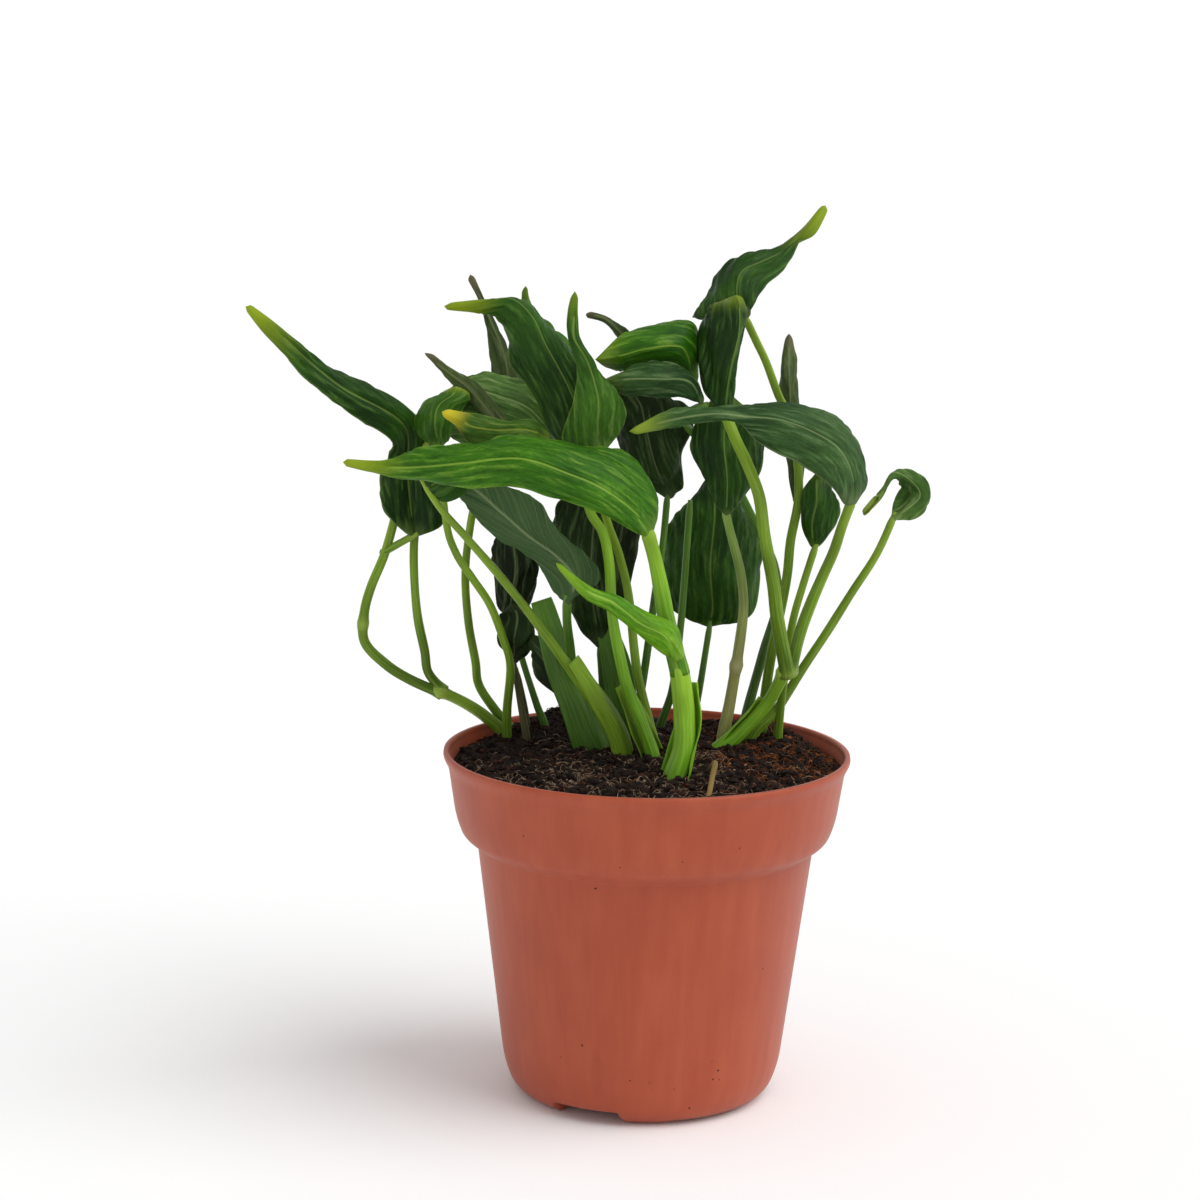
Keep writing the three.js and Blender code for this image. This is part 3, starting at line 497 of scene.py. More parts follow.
def rail(points, share):
    """A point on the smooth line through points, share running from 0 to 1."""
    span = share * (len(points) - 1)
    i = min(int(span), len(points) - 2)
    u = span - i
    here, after = points[i], points[i + 1]
    before = points[i - 1] if i else here * 2 - after
    beyond = points[i + 2] if i + 2 < len(points) else after * 2 - here
    return (here * 2 + (after - before) * u + (before * 2 - here * 5 + after * 4 - beyond) * u * u
            + (here * 3 - before - after * 3 + beyond) * u * u * u) * 0.5


def even_run(path, step):
    """Points about step apart along the smooth line through a path."""
    knots = [Vector(p) for p in path]
    fine = [rail(knots, k / (24 * len(knots))) for k in range(24 * len(knots) + 1)]
    lengths = [0.0]
    for a, b in zip(fine, fine[1:]):
        lengths.append(lengths[-1] + (b - a).length)
    count = max(4, round(lengths[-1] / step))
    run, i = [], 0
    for k in range(count + 1):
        target = lengths[-1] * k / count
        while i < len(lengths) - 2 and lengths[i + 1] < target:
            i += 1
        share = (target - lengths[i]) / max(lengths[i + 1] - lengths[i], 1e-9)
        run.append(fine[i].lerp(fine[i + 1], min(share, 1)))
    return run, lengths[-1]


def frames_along(run):
    """The direction and two cross directions at each point, with no twist between them."""
    frames, side = [], None
    for k, here in enumerate(run):
        ahead = (run[min(k + 1, len(run) - 1)] - run[max(k - 1, 0)]).normalized()
        if side is None:
            side = ahead.cross(Vector((0, -1, 0)) if abs(ahead.y) < 0.9 else Vector((0, 0, 1)))
        side = (side - ahead * side.dot(ahead)).normalized()
        frames.append((ahead, side, ahead.cross(side)))
    return frames


def living_skin(name, foot, middle, top, streak, roughness=0.42):
    """The skin of a young stem: waxy, finely ribbed along its length, darker at the foot
    and paler where it thickens at a joint."""
    material, tree, output = new_material(name)
    run = add(tree, "ShaderNodeUVMap", uv_map="run").outputs[0]
    tone = add(tree, "ShaderNodeSeparateXYZ",
               {0: add(tree, "ShaderNodeUVMap", uv_map="tone").outputs[0]}).outputs
    place = add(tree, "ShaderNodeTexCoord").outputs["Object"]
    # Ribs are about 0.5 mm apart round the stalk and centimetres long.
    ribs_place = add(tree, "ShaderNodeMapping", {"Vector": run, "Scale": (26, 0.7, 1)})
    ribs = add(tree, "ShaderNodeTexNoise", {"Vector": ribs_place.outputs[0], "Scale": 1.0, "Detail": 3.0})
    cells = add(tree, "ShaderNodeTexNoise", {"Vector": place, "Scale": 420.0, "Detail": 2.0})
    clouds = add(tree, "ShaderNodeTexNoise", {"Vector": place, "Scale": 60.0, "Detail": 1.0})
    rise = add(tree, "ShaderNodeMapRange", {"Value": tone[0], "From Min": 0.0, "From Max": 0.42})
    low = add(tree, "ShaderNodeMix", {0: rise.outputs[0], 6: linear(foot), 7: linear(middle)},
              data_type="RGBA")
    finish = add(tree, "ShaderNodeMapRange", {"Value": tone[0], "From Min": 0.45, "From Max": 1.0})
    body = add(tree, "ShaderNodeMix", {0: finish.outputs[0], 6: low.outputs[2], 7: linear(top)},
               data_type="RGBA")
    veil = add(tree, "ShaderNodeMapRange", {"Value": ribs.outputs[0], "From Min": 0.42, "From Max": 0.72,
                                            "To Max": 0.55})
    ribbed = add(tree, "ShaderNodeMix", {0: veil.outputs[0], 6: body.outputs[2], 7: linear(streak)},
                 data_type="RGBA")
    shade = add(tree, "ShaderNodeMapRange", {"Value": clouds.outputs[0], "From Min": 0.35, "From Max": 0.65,
                                             "To Min": 0.8, "To Max": 1.12})
    shaded = add(tree, "ShaderNodeMix", {0: 1.0, 6: ribbed.outputs[2], 7: shade.outputs[0]},
                 data_type="RGBA", blend_type="MULTIPLY")
    joint = add(tree, "ShaderNodeMath", {0: tone[1], 1: 0.6}, operation="MULTIPLY")
    jointed = add(tree, "ShaderNodeMix", {0: joint.outputs[0], 6: shaded.outputs[2], 7: linear(streak)},
                  data_type="RGBA")
    height = add(tree, "ShaderNodeMath", {0: ribs.outputs[0], 1: 0.35, 2: cells.outputs[0]},
                 operation="MULTIPLY_ADD")
    bump = add(tree, "ShaderNodeBump", {"Height": height.outputs[0], "Strength": 0.35, "Distance": 0.0002})
    shader = add(tree, "ShaderNodeBsdfPrincipled", {
        "Base Color": jointed.outputs[2], "Roughness": roughness, "Normal": bump.outputs[0], "IOR": 1.42,
        "Specular IOR Level": 0.2, "Subsurface Weight": 0.1, "Subsurface Radius": (0.4, 1.0, 0.15),
        "Subsurface Scale": 0.0012})
    tree.links.new(shader.outputs[0], output.inputs["Surface"])
    return material


SKINS = {
    "green": living_skin("stalk_green", "#466714", "#63851b", "#7a9a26", "#9ab04e"),
    "lime": living_skin("stalk_lime", "#3d7010", "#629618", "#82aa26", "#a2c24e"),
    # Painted shade: the deep skin is a darker copy of the green one, for stalks inside and behind the plant.
    "deep": living_skin("stalk_deep_shaded", "#233c12", "#3d621a", "#527a24", "#728e4a"),
    "tan": living_skin("stalk_tan", "#a39a66", "#8f9150", "#5c8c22", "#b7b184"),
    "dry": living_skin("stalk_dry", "#2c2717", "#3f3d22", "#54562c", "#7d7752", 0.7),
    "root": living_skin("root_skin", "#8c6a3f", "#6f5a2f", "#5c5a2a", "#a88d63", 0.7),
}


def stalk(name, skin, radii, path, groove=0.22, joints=(), flare=0.3, swell_end=0.12, foot_in=4.0,
          end_in=3.2):
    """A stalk from its foot to its end. joints are shares of its length that swell, and
    foot_in and end_in are how far it grows on into the mix or stem, and into the blade."""
    knots = [Vector(p) for p in path]
    knots[0] += (knots[0] - knots[1]).normalized() * foot_in
    knots[-1] += (knots[-1] - knots[-2]).normalized() * end_in
    run, length = even_run(knots, STALK_STEP)
    frames = frames_along(run)
    seed = sum(ord(letter) for letter in name)
    groove_side = (seed % 7) * 0.9
    points, ribs, tones = [], [], []
    for k, (here, (_, side, up)) in enumerate(zip(run, frames)):
        share = k / (len(run) - 1)
        along = share * length
        joint = sum(math.exp(-(((share - j) * length) / JOINT_LENGTH) ** 2) for j in joints)
        near_end = math.exp(-(((1 - share) * length) / SWELLING_LENGTH) ** 2)
        size = radii[0] + (radii[1] - radii[0]) * share
        size *= 1 + flare * math.exp(-(along / FLARE_LENGTH) ** 2) + 0.3 * joint + swell_end * near_end
        size *= 1 - 0.4 * smooth(length - end_in - 1, length, along) * min(end_in, 1)
        size *= 1 + 0.07 * noise.noise(Vector((along / WOBBLE_LENGTH, seed, 0)))
        for s in range(STALK_SIDES):
            turn = math.tau * s / STALK_SIDES
            away = (turn - groove_side + math.pi) % math.tau - math.pi
            shape = 1 - groove * math.exp(-((away / GROOVE_WIDTH) ** 2)) * (1 - 0.8 * min(joint, 1))
            shape *= 1 + 0.02 * math.cos(5 * turn + seed)
            points.append(here + (side * math.cos(turn) + up * math.sin(turn)) * size * shape)
            ribs.append((s / STALK_SIDES, along / 10))
            tones.append((share, min(1, joint + 0.7 * near_end)))
    faces = []
    for k in range(len(run) - 1):
        for s in range(STALK_SIDES):
            a, b = k * STALK_SIDES + s, k * STALK_SIDES + (s + 1) % STALK_SIDES
            faces.append((a, b, b + STALK_SIDES, a + STALK_SIDES))
    for centre, first, flip in ((run[0], 0, True), (run[-1], (len(run) - 1) * STALK_SIDES, False)):
        middle = len(points)
        points.append(centre)
        ribs.append((0.5, 0))
        tones.append((0.0 if flip else 1.0, 0))
        for s in range(STALK_SIDES):
            a, b = first + s, first + (s + 1) % STALK_SIDES
            faces.append((middle, b, a) if flip else (middle, a, b))
    piece = new_piece(name + "_skin", points, faces, [SKINS[skin]], uv_maps={"run": ribs, "tone": tones})
    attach(piece, "root")
    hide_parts(name)


stalk("stem_left", "green", (2, 1.8), [
    (-42, 29, 88), (-44, 30, 100), (-48, 30, 105), (-55, 29, 110), (-63, 28, 114)], joints=(0.93,),
    swell_end=0.1, end_in=2.5)
stalk("petiole_outer_left", "green", (1.6, 1.2), [
    (-64, 28, 114), (-72, 26, 118), (-79, 24, 123), (-85, 22, 130), (-85, 20, 139), (-83, 20, 147),
    (-79, 21, 157), (-76, 22, 168), (-73, 20, 180), (-67, 12, 190)], joints=(0.0, 0.36), flare=0,
    foot_in=2.2)
stalk("petiole_far_left", "green", (1.2, 1), [(-77, 20, 159), (-74, 18, 161), (-71, 16, 163)], flare=0)
stalk("petiole_left_inner", "green", (1.6, 1.2), [
    (-63, 28, 116), (-66, 27, 120), (-67, 25, 127), (-69, 22, 138), (-70, 21, 150), (-70, 21, 162),
    (-68, 20, 176), (-67, 14, 190), (-67, 11, 197)], joints=(0.0,), flare=0, foot_in=2.5)
stalk("petiole_left_third", "green", (1.5, 1), [
    (-35, 37, 88), (-39, 35, 98), (-46, 34, 107), (-51, 33, 115), (-52, 30, 123), (-54, 27, 135),
    (-55, 24, 149), (-54, 20, 162), (-51, 14, 178), (-45, 7, 197)])
stalk("petiole_left_fourth", "green", (1.4, 1), [
    (-41, 25, 88), (-42, 25, 100), (-42, 22, 110), (-41, 17, 124), (-43, 13, 133), (-47, 10, 144),
    (-52, 8, 152), (-57, 6, 160), (-60, 5, 170), (-62, 5, 191)])
stalk("sheath_left", "dry", (1.6, 0.9), [(-35, 31, 88), (-36, 31, 99), (-37, 31, 108), (-39, 30, 118)])
stalk("petiole_shaded_left", "deep", (1.3, 1), [
    (-30, 28, 88), (-30, 28, 101), (-33, 28, 110), (-36, 28, 119), (-39, 29, 128), (-42, 29, 136)])
stalk("petiole_withered", "dry", (1.2, 0.9), [
    (-35, 21, 88), (-36, 21, 101), (-38, 22, 112), (-40, 23, 123)])
stalk("petiole_diagonal", "green", (2, 1), [
    (-5, 2, 88), (-7, 0, 98), (-10, -2, 109), (-17, -5, 120), (-25, -8, 132), (-34, -12, 145),
    (-43, -16, 157), (-53, -19, 169), (-60, -20, 177), (-64, -20, 183)], flare=0.9)
stalk("petiole_sage", "deep", (1.8, 1.3), [
    (-19, 19, 88), (-20, 18, 100), (-21, 15, 109), (-22, 10, 119), (-23, 3, 132), (-24, -4, 142),
    (-24, -7, 148)], flare=0.6)
stalk("petiole_front_left", "lime", (2, 1.3), [
    (3, -4, 88), (2, -5, 101), (-2, -6, 113), (-6, -7, 123), (-9, -8, 135), (-11, -8, 146),
    (-12, -8, 160), (-14, -8, 169), (-18, -8, 176), (-19, -6, 186)], flare=0.6)
stalk("petiole_front_branch", "green", (1.5, 1.1), [
    (4, 8, 88), (3, 8, 100), (-3, 9, 124), (-6, 9, 147), (-9, 6, 160), (-14, -2, 176), (-15, -8, 192)],
    flare=0.6)
stalk("stem_front", "lime", (3.6, 3.1), [
    (6, -27, 88), (7, -26, 99), (10, -25, 109), (10, -24, 119), (9, -24, 128), (8, -24, 134)], groove=0.3,
    flare=0.1, swell_end=0, end_in=2)
stalk("petiole_front_arch", "lime", (2.8, 2.2), [
    (8, -24, 135), (5, -25, 146), (3, -26, 156), (1, -27, 165), (-1, -28, 172)], flare=0.15)
stalk("aerial_root", "root", (0.7, 0.8), [
    (16, -50, 99), (17, -47, 102), (18, -40, 105), (19, -32, 107), (18, -26, 104)], groove=0, flare=0.1)
stalk("stem_right", "lime", (2.2, 2), [
    (14, 9, 92), (20, 10, 100), (26, 11, 104), (31, 12, 109), (36, 12, 115), (39, 11, 121), (41, 10,
                                                                                             126)], joints=(0.93,), swell_end=0.1, end_in=2.5)
stalk("petiole_centre_right", "tan", (2, 1.2), [
    (22, 17, 88), (23, 17, 102), (25, 16, 115), (27, 13, 131), (28, 10, 144), (27, 7, 154), (25, 5, 162),
    (23, 4, 169), (22, 4, 173)], joints=(0.45,))
stalk("petiole_hanging_dark", "green", (2.1, 1.6), [
    (41, 9, 127), (38, 5, 141), (36, 1, 154), (33, -2, 168), (31, -4, 180), (27, -4, 190), (24, -3, 196),
    (21, -1, 203)], joints=(0.0,), flare=0.1, foot_in=3)
stalk("petiole_top_right", "green", (1.7, 1.1), [
    (34, 27, 88), (35, 26, 103), (37, 24, 125), (41, 21, 150), (42, 20, 163), (44, 20, 176),
    (43, 20, 190), (40, 18, 201), (37, 16, 207), (33, 13, 217), (30, 11, 223), (27, 10, 229)])
stalk("petiole_right_droop", "green", (1.8, 1.5), [
    (43, 11, 128), (45, 11, 137), (48, 11, 146), (51, 10, 154), (54, 8, 162), (56, 5, 170), (58, 2, 177)],
    joints=(0.0,), flare=0.1, foot_in=3)
stalk("petiole_bud", "green", (1.6, 1.1), [
    (27, 20, 88), (32, 20, 103), (39, 21, 111), (47, 23, 124), (54, 24, 135), (61, 24, 147),
    (68, 23, 159), (72, 22, 169)])
stalk("petiole_small_right", "green", (1.5, 1.2), [
    (40, 22, 88), (40, 22, 103), (41, 18, 120), (43, 17, 138), (46, 18, 150), (49, 19, 160)])
stalk("petiole_back_right", "deep", (1.7, 1.1), [
    (29, 33, 88), (30, 33, 103), (35, 33, 125), (39, 31, 141), (38, 30, 153), (34, 30, 162),
    (30, 28, 170), (24, 26, 181), (16, 21, 191), (10, 14, 198), (11, 6, 203), (14, 1, 205)])
stalk("sheath_stub", "deep", (1.3, 1), [
    (4, 31, 88), (4, 31, 101), (8, 31, 115), (10, 31, 134), (11, 31, 150), (12, 31, 170)])
stalk("petiole_low_back", "deep", (1.2, 1), [(15, 41, 88), (15, 41, 102), (17, 41, 117), (19, 43, 131)])
stalk("petiole_crumpled", "deep", (1.4, 1), [
    (-4, 24, 88), (-4, 24, 101), (-1, 25, 120), (2, 26, 145), (4, 26, 160), (5, 27, 173)])
stalk("petiole_inner_dark", "deep", (1.5, 1.2), [
    (-12, 23, 88), (-12, 23, 101), (-13, 22, 115), (-14, 22, 128)])


# ---- Sheaths ----------------------------------------------------------------------------
# Thin green wings that wrap the foot of a stalk and open along one side. They grew with
# the stalk, so they hug it and turn out only at their free edges.
SHEATH_STEP = 1.5
SHEATH_CELLS = 18


def sheath(name, skin, path, radius, opening, arc=3.6, flare=0.5, thickness=0.35):
    """A thin shell round a path. opening is where its gap looks, in radians from the right,
    turning towards the front."""
    run, _ = even_run(path, SHEATH_STEP)
    frames = frames_along(run)
    cells = SHEATH_CELLS
    layers = []
    for out in (1, 0):
        for k, (here, (_, side, up)) in enumerate(zip(run, frames)):
            share = k / (len(run) - 1)
            reach = arc * (1 - 0.55 * share ** 2)
            for c in range(cells + 1):
                edge = abs(2 * c / cells - 1)
                turn = opening + math.pi + reach * (c / cells - 0.5)
                size = radius * (1.06 + 0.12 * (1 - share)) + flare * edge ** 4 + (thickness if out else 0)
                ripple = 0.25 * edge ** 2 * math.sin(share * 14 + c)
                spoke = Vector((math.cos(turn), -math.sin(turn), 0))
                layers.append(here + (side * spoke.dot(side) + up * spoke.dot(up)).normalized() * (size + ripple))
    row = cells + 1
    count = len(run) * row
    faces = []
    for k in range(len(run) - 1):
        for c in range(cells):
            a = k * row + c
            faces.append((a, a + row, a + row + 1, a + 1))
            faces.append((count + a, count + a + 1, count + a + row + 1, count + a + row))
        for c, flip in ((0, False), (cells, True)):
            a, b = k * row + c, (k + 1) * row + c
            faces.append((a, b, count + b, count + a) if flip else (b, a, count + a, count + b))
    for k, flip in ((0, False), (len(run) - 1, True)):
        for c in range(cells):
            a, b = k * row + c, k * row + c + 1
            faces.append((b, a, count + a, count + b) if flip else (a, b, count + b, count + a))
    tones = [(0.25 + 0.6 * ((i % count) // row) / len(run), 0) for i in range(2 * count)]
    ribs = [((i % row) / cells, ((i % count) // row) * 0.15) for i in range(2 * count)]
    piece = new_piece(name, layers, faces, [SKINS[skin]], uv_maps={"run": ribs, "tone": tones})
    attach(piece, "root")


sheath("front_sheath", "lime", [(6, -27, 96), (8, -26, 107), (10, -25, 118), (9, -24, 128)], 4.1, 2.3,
       2.9, 0.25)
sheath("right_sheath", "lime", [(16, 9, 96), (24, 11, 102), (31, 12, 109), (36, 12, 115)], 2.6, 0.6, 2.6,
       0.3)
sheath("diagonal_sheath", "green", [(-6, 1, 94), (-9, -1, 107), (-16, -5, 119), (-24, -8, 131)], 2.9, 3.9,
       3.0, 0.5)
sheath("centre_sheath", "green", [(3, -4, 94), (2, -5, 103), (-2, -6, 114), (-6, -7, 124)], 2.9, 1.0, 2.8,
       0.6)
sheath("inner_sheath_left", "deep", [(-13, 7, 94), (-20, 7, 111), (-27, 9, 128), (-33, 12, 145)], 3.9,
       4.4, 2.8, 0.8)
sheath("inner_sheath_right", "deep", [(-4, 14, 94), (-7, 14, 111), (-11, 15, 128), (-16, 18, 142)], 3.6,
       1.9, 2.8, 0.8)


# ---- Leaf blades ------------------------------------------------------------------------
# Young pothos blades, about 0.5 mm thick, that hang folded along the midrib and pleated
# between the veins. Each thickens into a blunt, yellow-green drip tip. The upper face is
# waxy, and the under face is paler and matt with a raised midrib.
BLADE_ROWS = 84
BLADE_SHARES = [0, 0.03, 0.07, 0.13, 0.2, 0.28, 0.37, 0.46, 0.55, 0.64, 0.72, 0.8, 0.87, 0.93, 0.97, 1]
BLADE_THICKNESS = 0.55
BLADE_BULGE = 0.14  # how far each half arches up, as a share of its width
NARROWEST_HALF = 1.0
END_ROUNDING = 1.5  # the length over which the base and the tip close
ROD_THICKNESS = 2.0  # of the base and of the drip tip
KEEL_DEPTH = 0.75  # how far the midrib stands out below
KEEL_HALF_WIDTH = 0.8
FURROW_DEPTH = 0.3  # over the midrib, on the upper face
FURROW_HALF_WIDTH = 0.5
CREASE_WIDTH = 2.2  # the lengthwise creases, across and along the blade
CREASE_LENGTH = 19
RIPPLE_LENGTH = 4.1
VEIN_SPACING = 5.5
VEIN_SWEEP = 2.1  # how far a vein runs ahead for each millimetre that it runs out


def waxy_leaf(name, dark, middle, streak, vein, tip, roughness=0.42, vein_share=0.3):
    """The upper face: a satin wax over dark green, with paler streaks along the crests of its pleats as a painted
    highlight and painted shade in their hollows, a thin pale midrib, and a thick tip that pales to yellow-green."""
    material, tree, output = new_material(name)
    vein_part = add(tree, "ShaderNodeSeparateXYZ",
                    {0: add(tree, "ShaderNodeUVMap", uv_map="vein").outputs[0]}).outputs
    face = add(tree, "ShaderNodeUVMap", uv_map="face").outputs[0]
    tone = add(tree, "ShaderNodeSeparateXYZ",
               {0: add(tree, "ShaderNodeUVMap", uv_map="tone").outputs[0]}).outputs
    place = add(tree, "ShaderNodeTexCoord").outputs["Object"]
    # Pleats lie 1 to 2 mm apart and run on towards the tip for a centimetre or more.
    pleat_place = add(tree, "ShaderNodeMapping", {"Vector": face, "Scale": (7.5, 0.75, 1)})
    pleats = add(tree, "ShaderNodeTexNoise", {"Vector": pleat_place.outputs[0], "Scale": 1.0, "Detail": 3.0,
                                              "Distortion": 0.25})
    fine_place = add(tree, "ShaderNodeMapping", {"Vector": face, "Scale": (24, 5, 1)})
    fine = add(tree, "ShaderNodeTexNoise", {"Vector": fine_place.outputs[0], "Scale": 1.0, "Detail": 3.0,
                                            "Roughness": 0.65})
    clouds = add(tree, "ShaderNodeTexNoise", {"Vector": place, "Scale": 32.0, "Detail": 3.0})
    spread = add(tree, "ShaderNodeMapRange", {"Value": clouds.outputs[0], "From Min": 0.36,
                                              "From Max": 0.66})
    ground = add(tree, "ShaderNodeMix", {0: spread.outputs[0], 6: linear(dark), 7: linear(middle)},
                 data_type="RGBA")
    # Painted highlight: the streak colour lies along the crests of the pleats, where the wax would catch the light.
    crest_highlight_share = add(tree, "ShaderNodeMapRange", {"Value": pleats.outputs[0], "From Min": 0.52,
                                                  "From Max": 0.72,
                                                  "To Max": 0.6})
    crest_highlighted = add(tree, "ShaderNodeMix", {0: crest_highlight_share.outputs[0], 6: ground.outputs[2],
                                           7: linear(streak)},
                   data_type="RGBA")
    # Painted shade: the bottom of each pleat is darkened as if in its own shade, and gets less of the painted
    # highlight.
    hollow = add(tree, "ShaderNodeMapRange", {"Value": pleats.outputs[0], "From Min": 0.32, "From Max": 0.5,
                                              "To Min": 0.6, "To Max": 1.0})
    grain = add(tree, "ShaderNodeMapRange", {"Value": fine.outputs[0], "From Min": 0.35, "From Max": 0.7,
                                             "To Min": 0.78, "To Max": 1.2})
    shade = add(tree, "ShaderNodeMath", {0: hollow.outputs[0], 1: grain.outputs[0]}, operation="MULTIPLY")
    shaded = add(tree, "ShaderNodeMix", {0: 1.0, 6: crest_highlighted.outputs[2], 7: shade.outputs[0]},
                 data_type="RGBA", blend_type="MULTIPLY")
    # Each side vein is a faint line about 0.4 mm wide, where its phase is a whole number.
    wander = add(tree, "ShaderNodeMath", {0: clouds.outputs[0], 1: 0.8, 2: vein_part[0]},
                 operation="MULTIPLY_ADD")
    phase = add(tree, "ShaderNodeMath", {0: wander.outputs[0], 1: 0.5}, operation="PINGPONG")
    line = add(tree, "ShaderNodeMapRange", {"Value": phase.outputs[0], "From Min": 0.0, "From Max": 0.08,
                                            "To Min": vein_share, "To Max": 0.0})
    veined = add(tree, "ShaderNodeMix", {0: line.outputs[0], 6: shaded.outputs[2], 7: linear(dark)},
                 data_type="RGBA")
    rib = add(tree, "ShaderNodeMapRange", {"Value": vein_part[1], "From Min": 0.01, "From Max": 0.045,
                                           "To Min": vein_share + 0.2, "To Max": 0.0})
    ribbed = add(tree, "ShaderNodeMix", {0: rib.outputs[0], 6: veined.outputs[2], 7: linear(vein)},
                 data_type="RGBA")
    edge = add(tree, "ShaderNodeMath", {0: tone[1], 1: 0.35}, operation="MULTIPLY")
    edged = add(tree, "ShaderNodeMix", {0: edge.outputs[0], 6: ribbed.outputs[2], 7: linear(vein)},
                data_type="RGBA")
    tipped = add(tree, "ShaderNodeMix", {0: tone[0], 6: edged.outputs[2], 7: linear(tip)}, data_type="RGBA")
    height = add(tree, "ShaderNodeMath", {0: fine.outputs[0], 1: 0.3, 2: pleats.outputs[0]},
                 operation="MULTIPLY_ADD")
    bump = add(tree, "ShaderNodeBump", {"Height": height.outputs[0], "Strength": 0.7, "Distance": 0.0008})
    rough = add(tree, "ShaderNodeMapRange", {"Value": fine.outputs[0], "To Min": roughness - 0.1,
                                             "To Max": roughness + 0.12})
    shader = add(tree, "ShaderNodeBsdfPrincipled", {
        "Base Color": tipped.outputs[2], "Roughness": rough.outputs[0], "Normal": bump.outputs[0],
        "IOR": 1.42,
        "Specular IOR Level": 0.16, "Subsurface Weight": 0.05, "Subsurface Radius": (0.3, 1.0, 0.1),
        "Subsurface Scale": 0.0008})
    tree.links.new(shader.outputs[0], output.inputs["Surface"])
    return material


def matt_underleaf(name, ground, middle, vein, tip):
    """The under face: matt, paler and greyer, with pale veins that are partly their own colour and partly a painted
    highlight where raised veins would catch the light.
    """
    material, tree, output = new_material(name)
    vein_run = add(tree, "ShaderNodeUVMap", uv_map="vein").outputs[0]
    vein_part = add(tree, "ShaderNodeSeparateXYZ", {0: vein_run}).outputs
    tone = add(tree, "ShaderNodeSeparateXYZ", {0: add(tree, "ShaderNodeUVMap",
                                                      uv_map="tone").outputs[0]}).outputs
    fine_place = add(tree, "ShaderNodeMapping", {"Vector": vein_run, "Scale": (7, 1.1, 1)})
    fine = add(tree, "ShaderNodeTexNoise", {"Vector": fine_place.outputs[0], "Scale": 1.0, "Detail": 4.0})
    share = add(tree, "ShaderNodeMapRange", {"Value": fine.outputs[0], "From Min": 0.35, "From Max": 0.7})
    body = add(tree, "ShaderNodeMix", {0: share.outputs[0], 6: linear(ground), 7: linear(middle)},
               data_type="RGBA")
    phase = add(tree, "ShaderNodeMath", {0: vein_part[0], 1: 0.5}, operation="PINGPONG")
    line = add(tree, "ShaderNodeMapRange", {"Value": phase.outputs[0], "From Min": 0.0, "From Max": 0.08,
                                            "To Min": 0.3, "To Max": 0.0})
    veined = add(tree, "ShaderNodeMix", {0: line.outputs[0], 6: body.outputs[2], 7: linear(vein)},
                 data_type="RGBA")
    rib = add(tree, "ShaderNodeMapRange", {"Value": vein_part[1], "From Min": 0.02, "From Max": 0.08,
                                           "To Min": 0.7, "To Max": 0.0})
    ribbed = add(tree, "ShaderNodeMix", {0: rib.outputs[0], 6: veined.outputs[2], 7: linear(vein)},
                 data_type="RGBA")
    tipped = add(tree, "ShaderNodeMix", {0: tone[0], 6: ribbed.outputs[2], 7: linear(tip)},
                 data_type="RGBA")
    bump = add(tree, "ShaderNodeBump", {"Height": fine.outputs[0], "Strength": 0.4, "Distance": 0.0004})
    shader = add(tree, "ShaderNodeBsdfPrincipled", {
        "Base Color": tipped.outputs[2], "Roughness": 0.62, "Normal": bump.outputs[0], "IOR": 1.42,
        "Specular IOR Level": 0.12, "Subsurface Weight": 0.05, "Subsurface Radius": (0.3, 1.0, 0.1),
        "Subsurface Scale": 0.0008})
    tree.links.new(shader.outputs[0], output.inputs["Surface"])
    return material


LEAF_FINISHES = {
    "deep": (waxy_leaf("leaf_deep_waxy", "#16320a", "#2c5410", "#587a34", "#7d9648", "#84991a"),
             matt_underleaf("leaf_deep_under", "#2a4a18", "#426528", "#748e48", "#84991a")),
    "middle": (waxy_leaf("leaf_middle_waxy", "#23480b", "#3f6b18", "#6d8f3c", "#86a34a", "#879c1e"),
               matt_underleaf("leaf_middle_under", "#345a1c", "#4d7530", "#7f9d4e", "#879c1e")),
    "bright": (waxy_leaf("leaf_bright_waxy", "#245408", "#437a12", "#7ea43a", "#93b244", "#8ea020", 0.4,
                         0.4),
               matt_underleaf("leaf_bright_under", "#3a721a", "#53902a", "#8bb04a", "#94aa20")),
    "pale": (waxy_leaf("leaf_pale_waxy", "#35561c", "#557834", "#8ea566", "#93a868", "#8b9d30", 0.55),
             matt_underleaf("leaf_pale_under", "#48683a", "#62804e", "#93a874", "#8b9d30")),
    "sage": (waxy_leaf("leaf_sage_waxy", "#22401a", "#3b5c2a", "#6c8656", "#8a9c68", "#84982c", 0.56),
             matt_underleaf("leaf_sage_under", "#385230", "#526c42", "#87976a", "#84982c")),
    "olive": (waxy_leaf("leaf_olive_waxy", "#2c3c18", "#4a5c2c", "#75805a", "#7d8456", "#5e5a40", 0.55),
              matt_underleaf("leaf_olive_under", "#3b4a2a", "#525f3a", "#7d8456", "#5e5a40")),
    "lime": (waxy_leaf("leaf_lime_waxy", "#4c860f", "#6da01c", "#93bb40", "#a8c658", "#86a824", 0.4, 0.2),
             matt_underleaf("leaf_lime_under", "#5f9226", "#79a93c", "#a8c658", "#86a824")),
    # The dry finish is near black: the colour of withered leaves, and painted shade where it is given to leaves
    # inside the plant.
    "dry": (waxy_leaf("leaf_dry_and_shaded_waxy", "#142009", "#284016", "#5f7346", "#77805a", "#4d5a2a", 0.6),
            matt_underleaf("leaf_dry_and_shaded_under", "#26361a", "#3d4f29", "#77805a", "#4d5a2a")),
    "yellow": (waxy_leaf("leaf_yellow_waxy", "#26470d", "#43661a", "#7c9040", "#9aa83c", "#c2b326"),
               matt_underleaf("leaf_yellow_under", "#3c5f1f", "#527233", "#9aa83c", "#c2b326")),
}


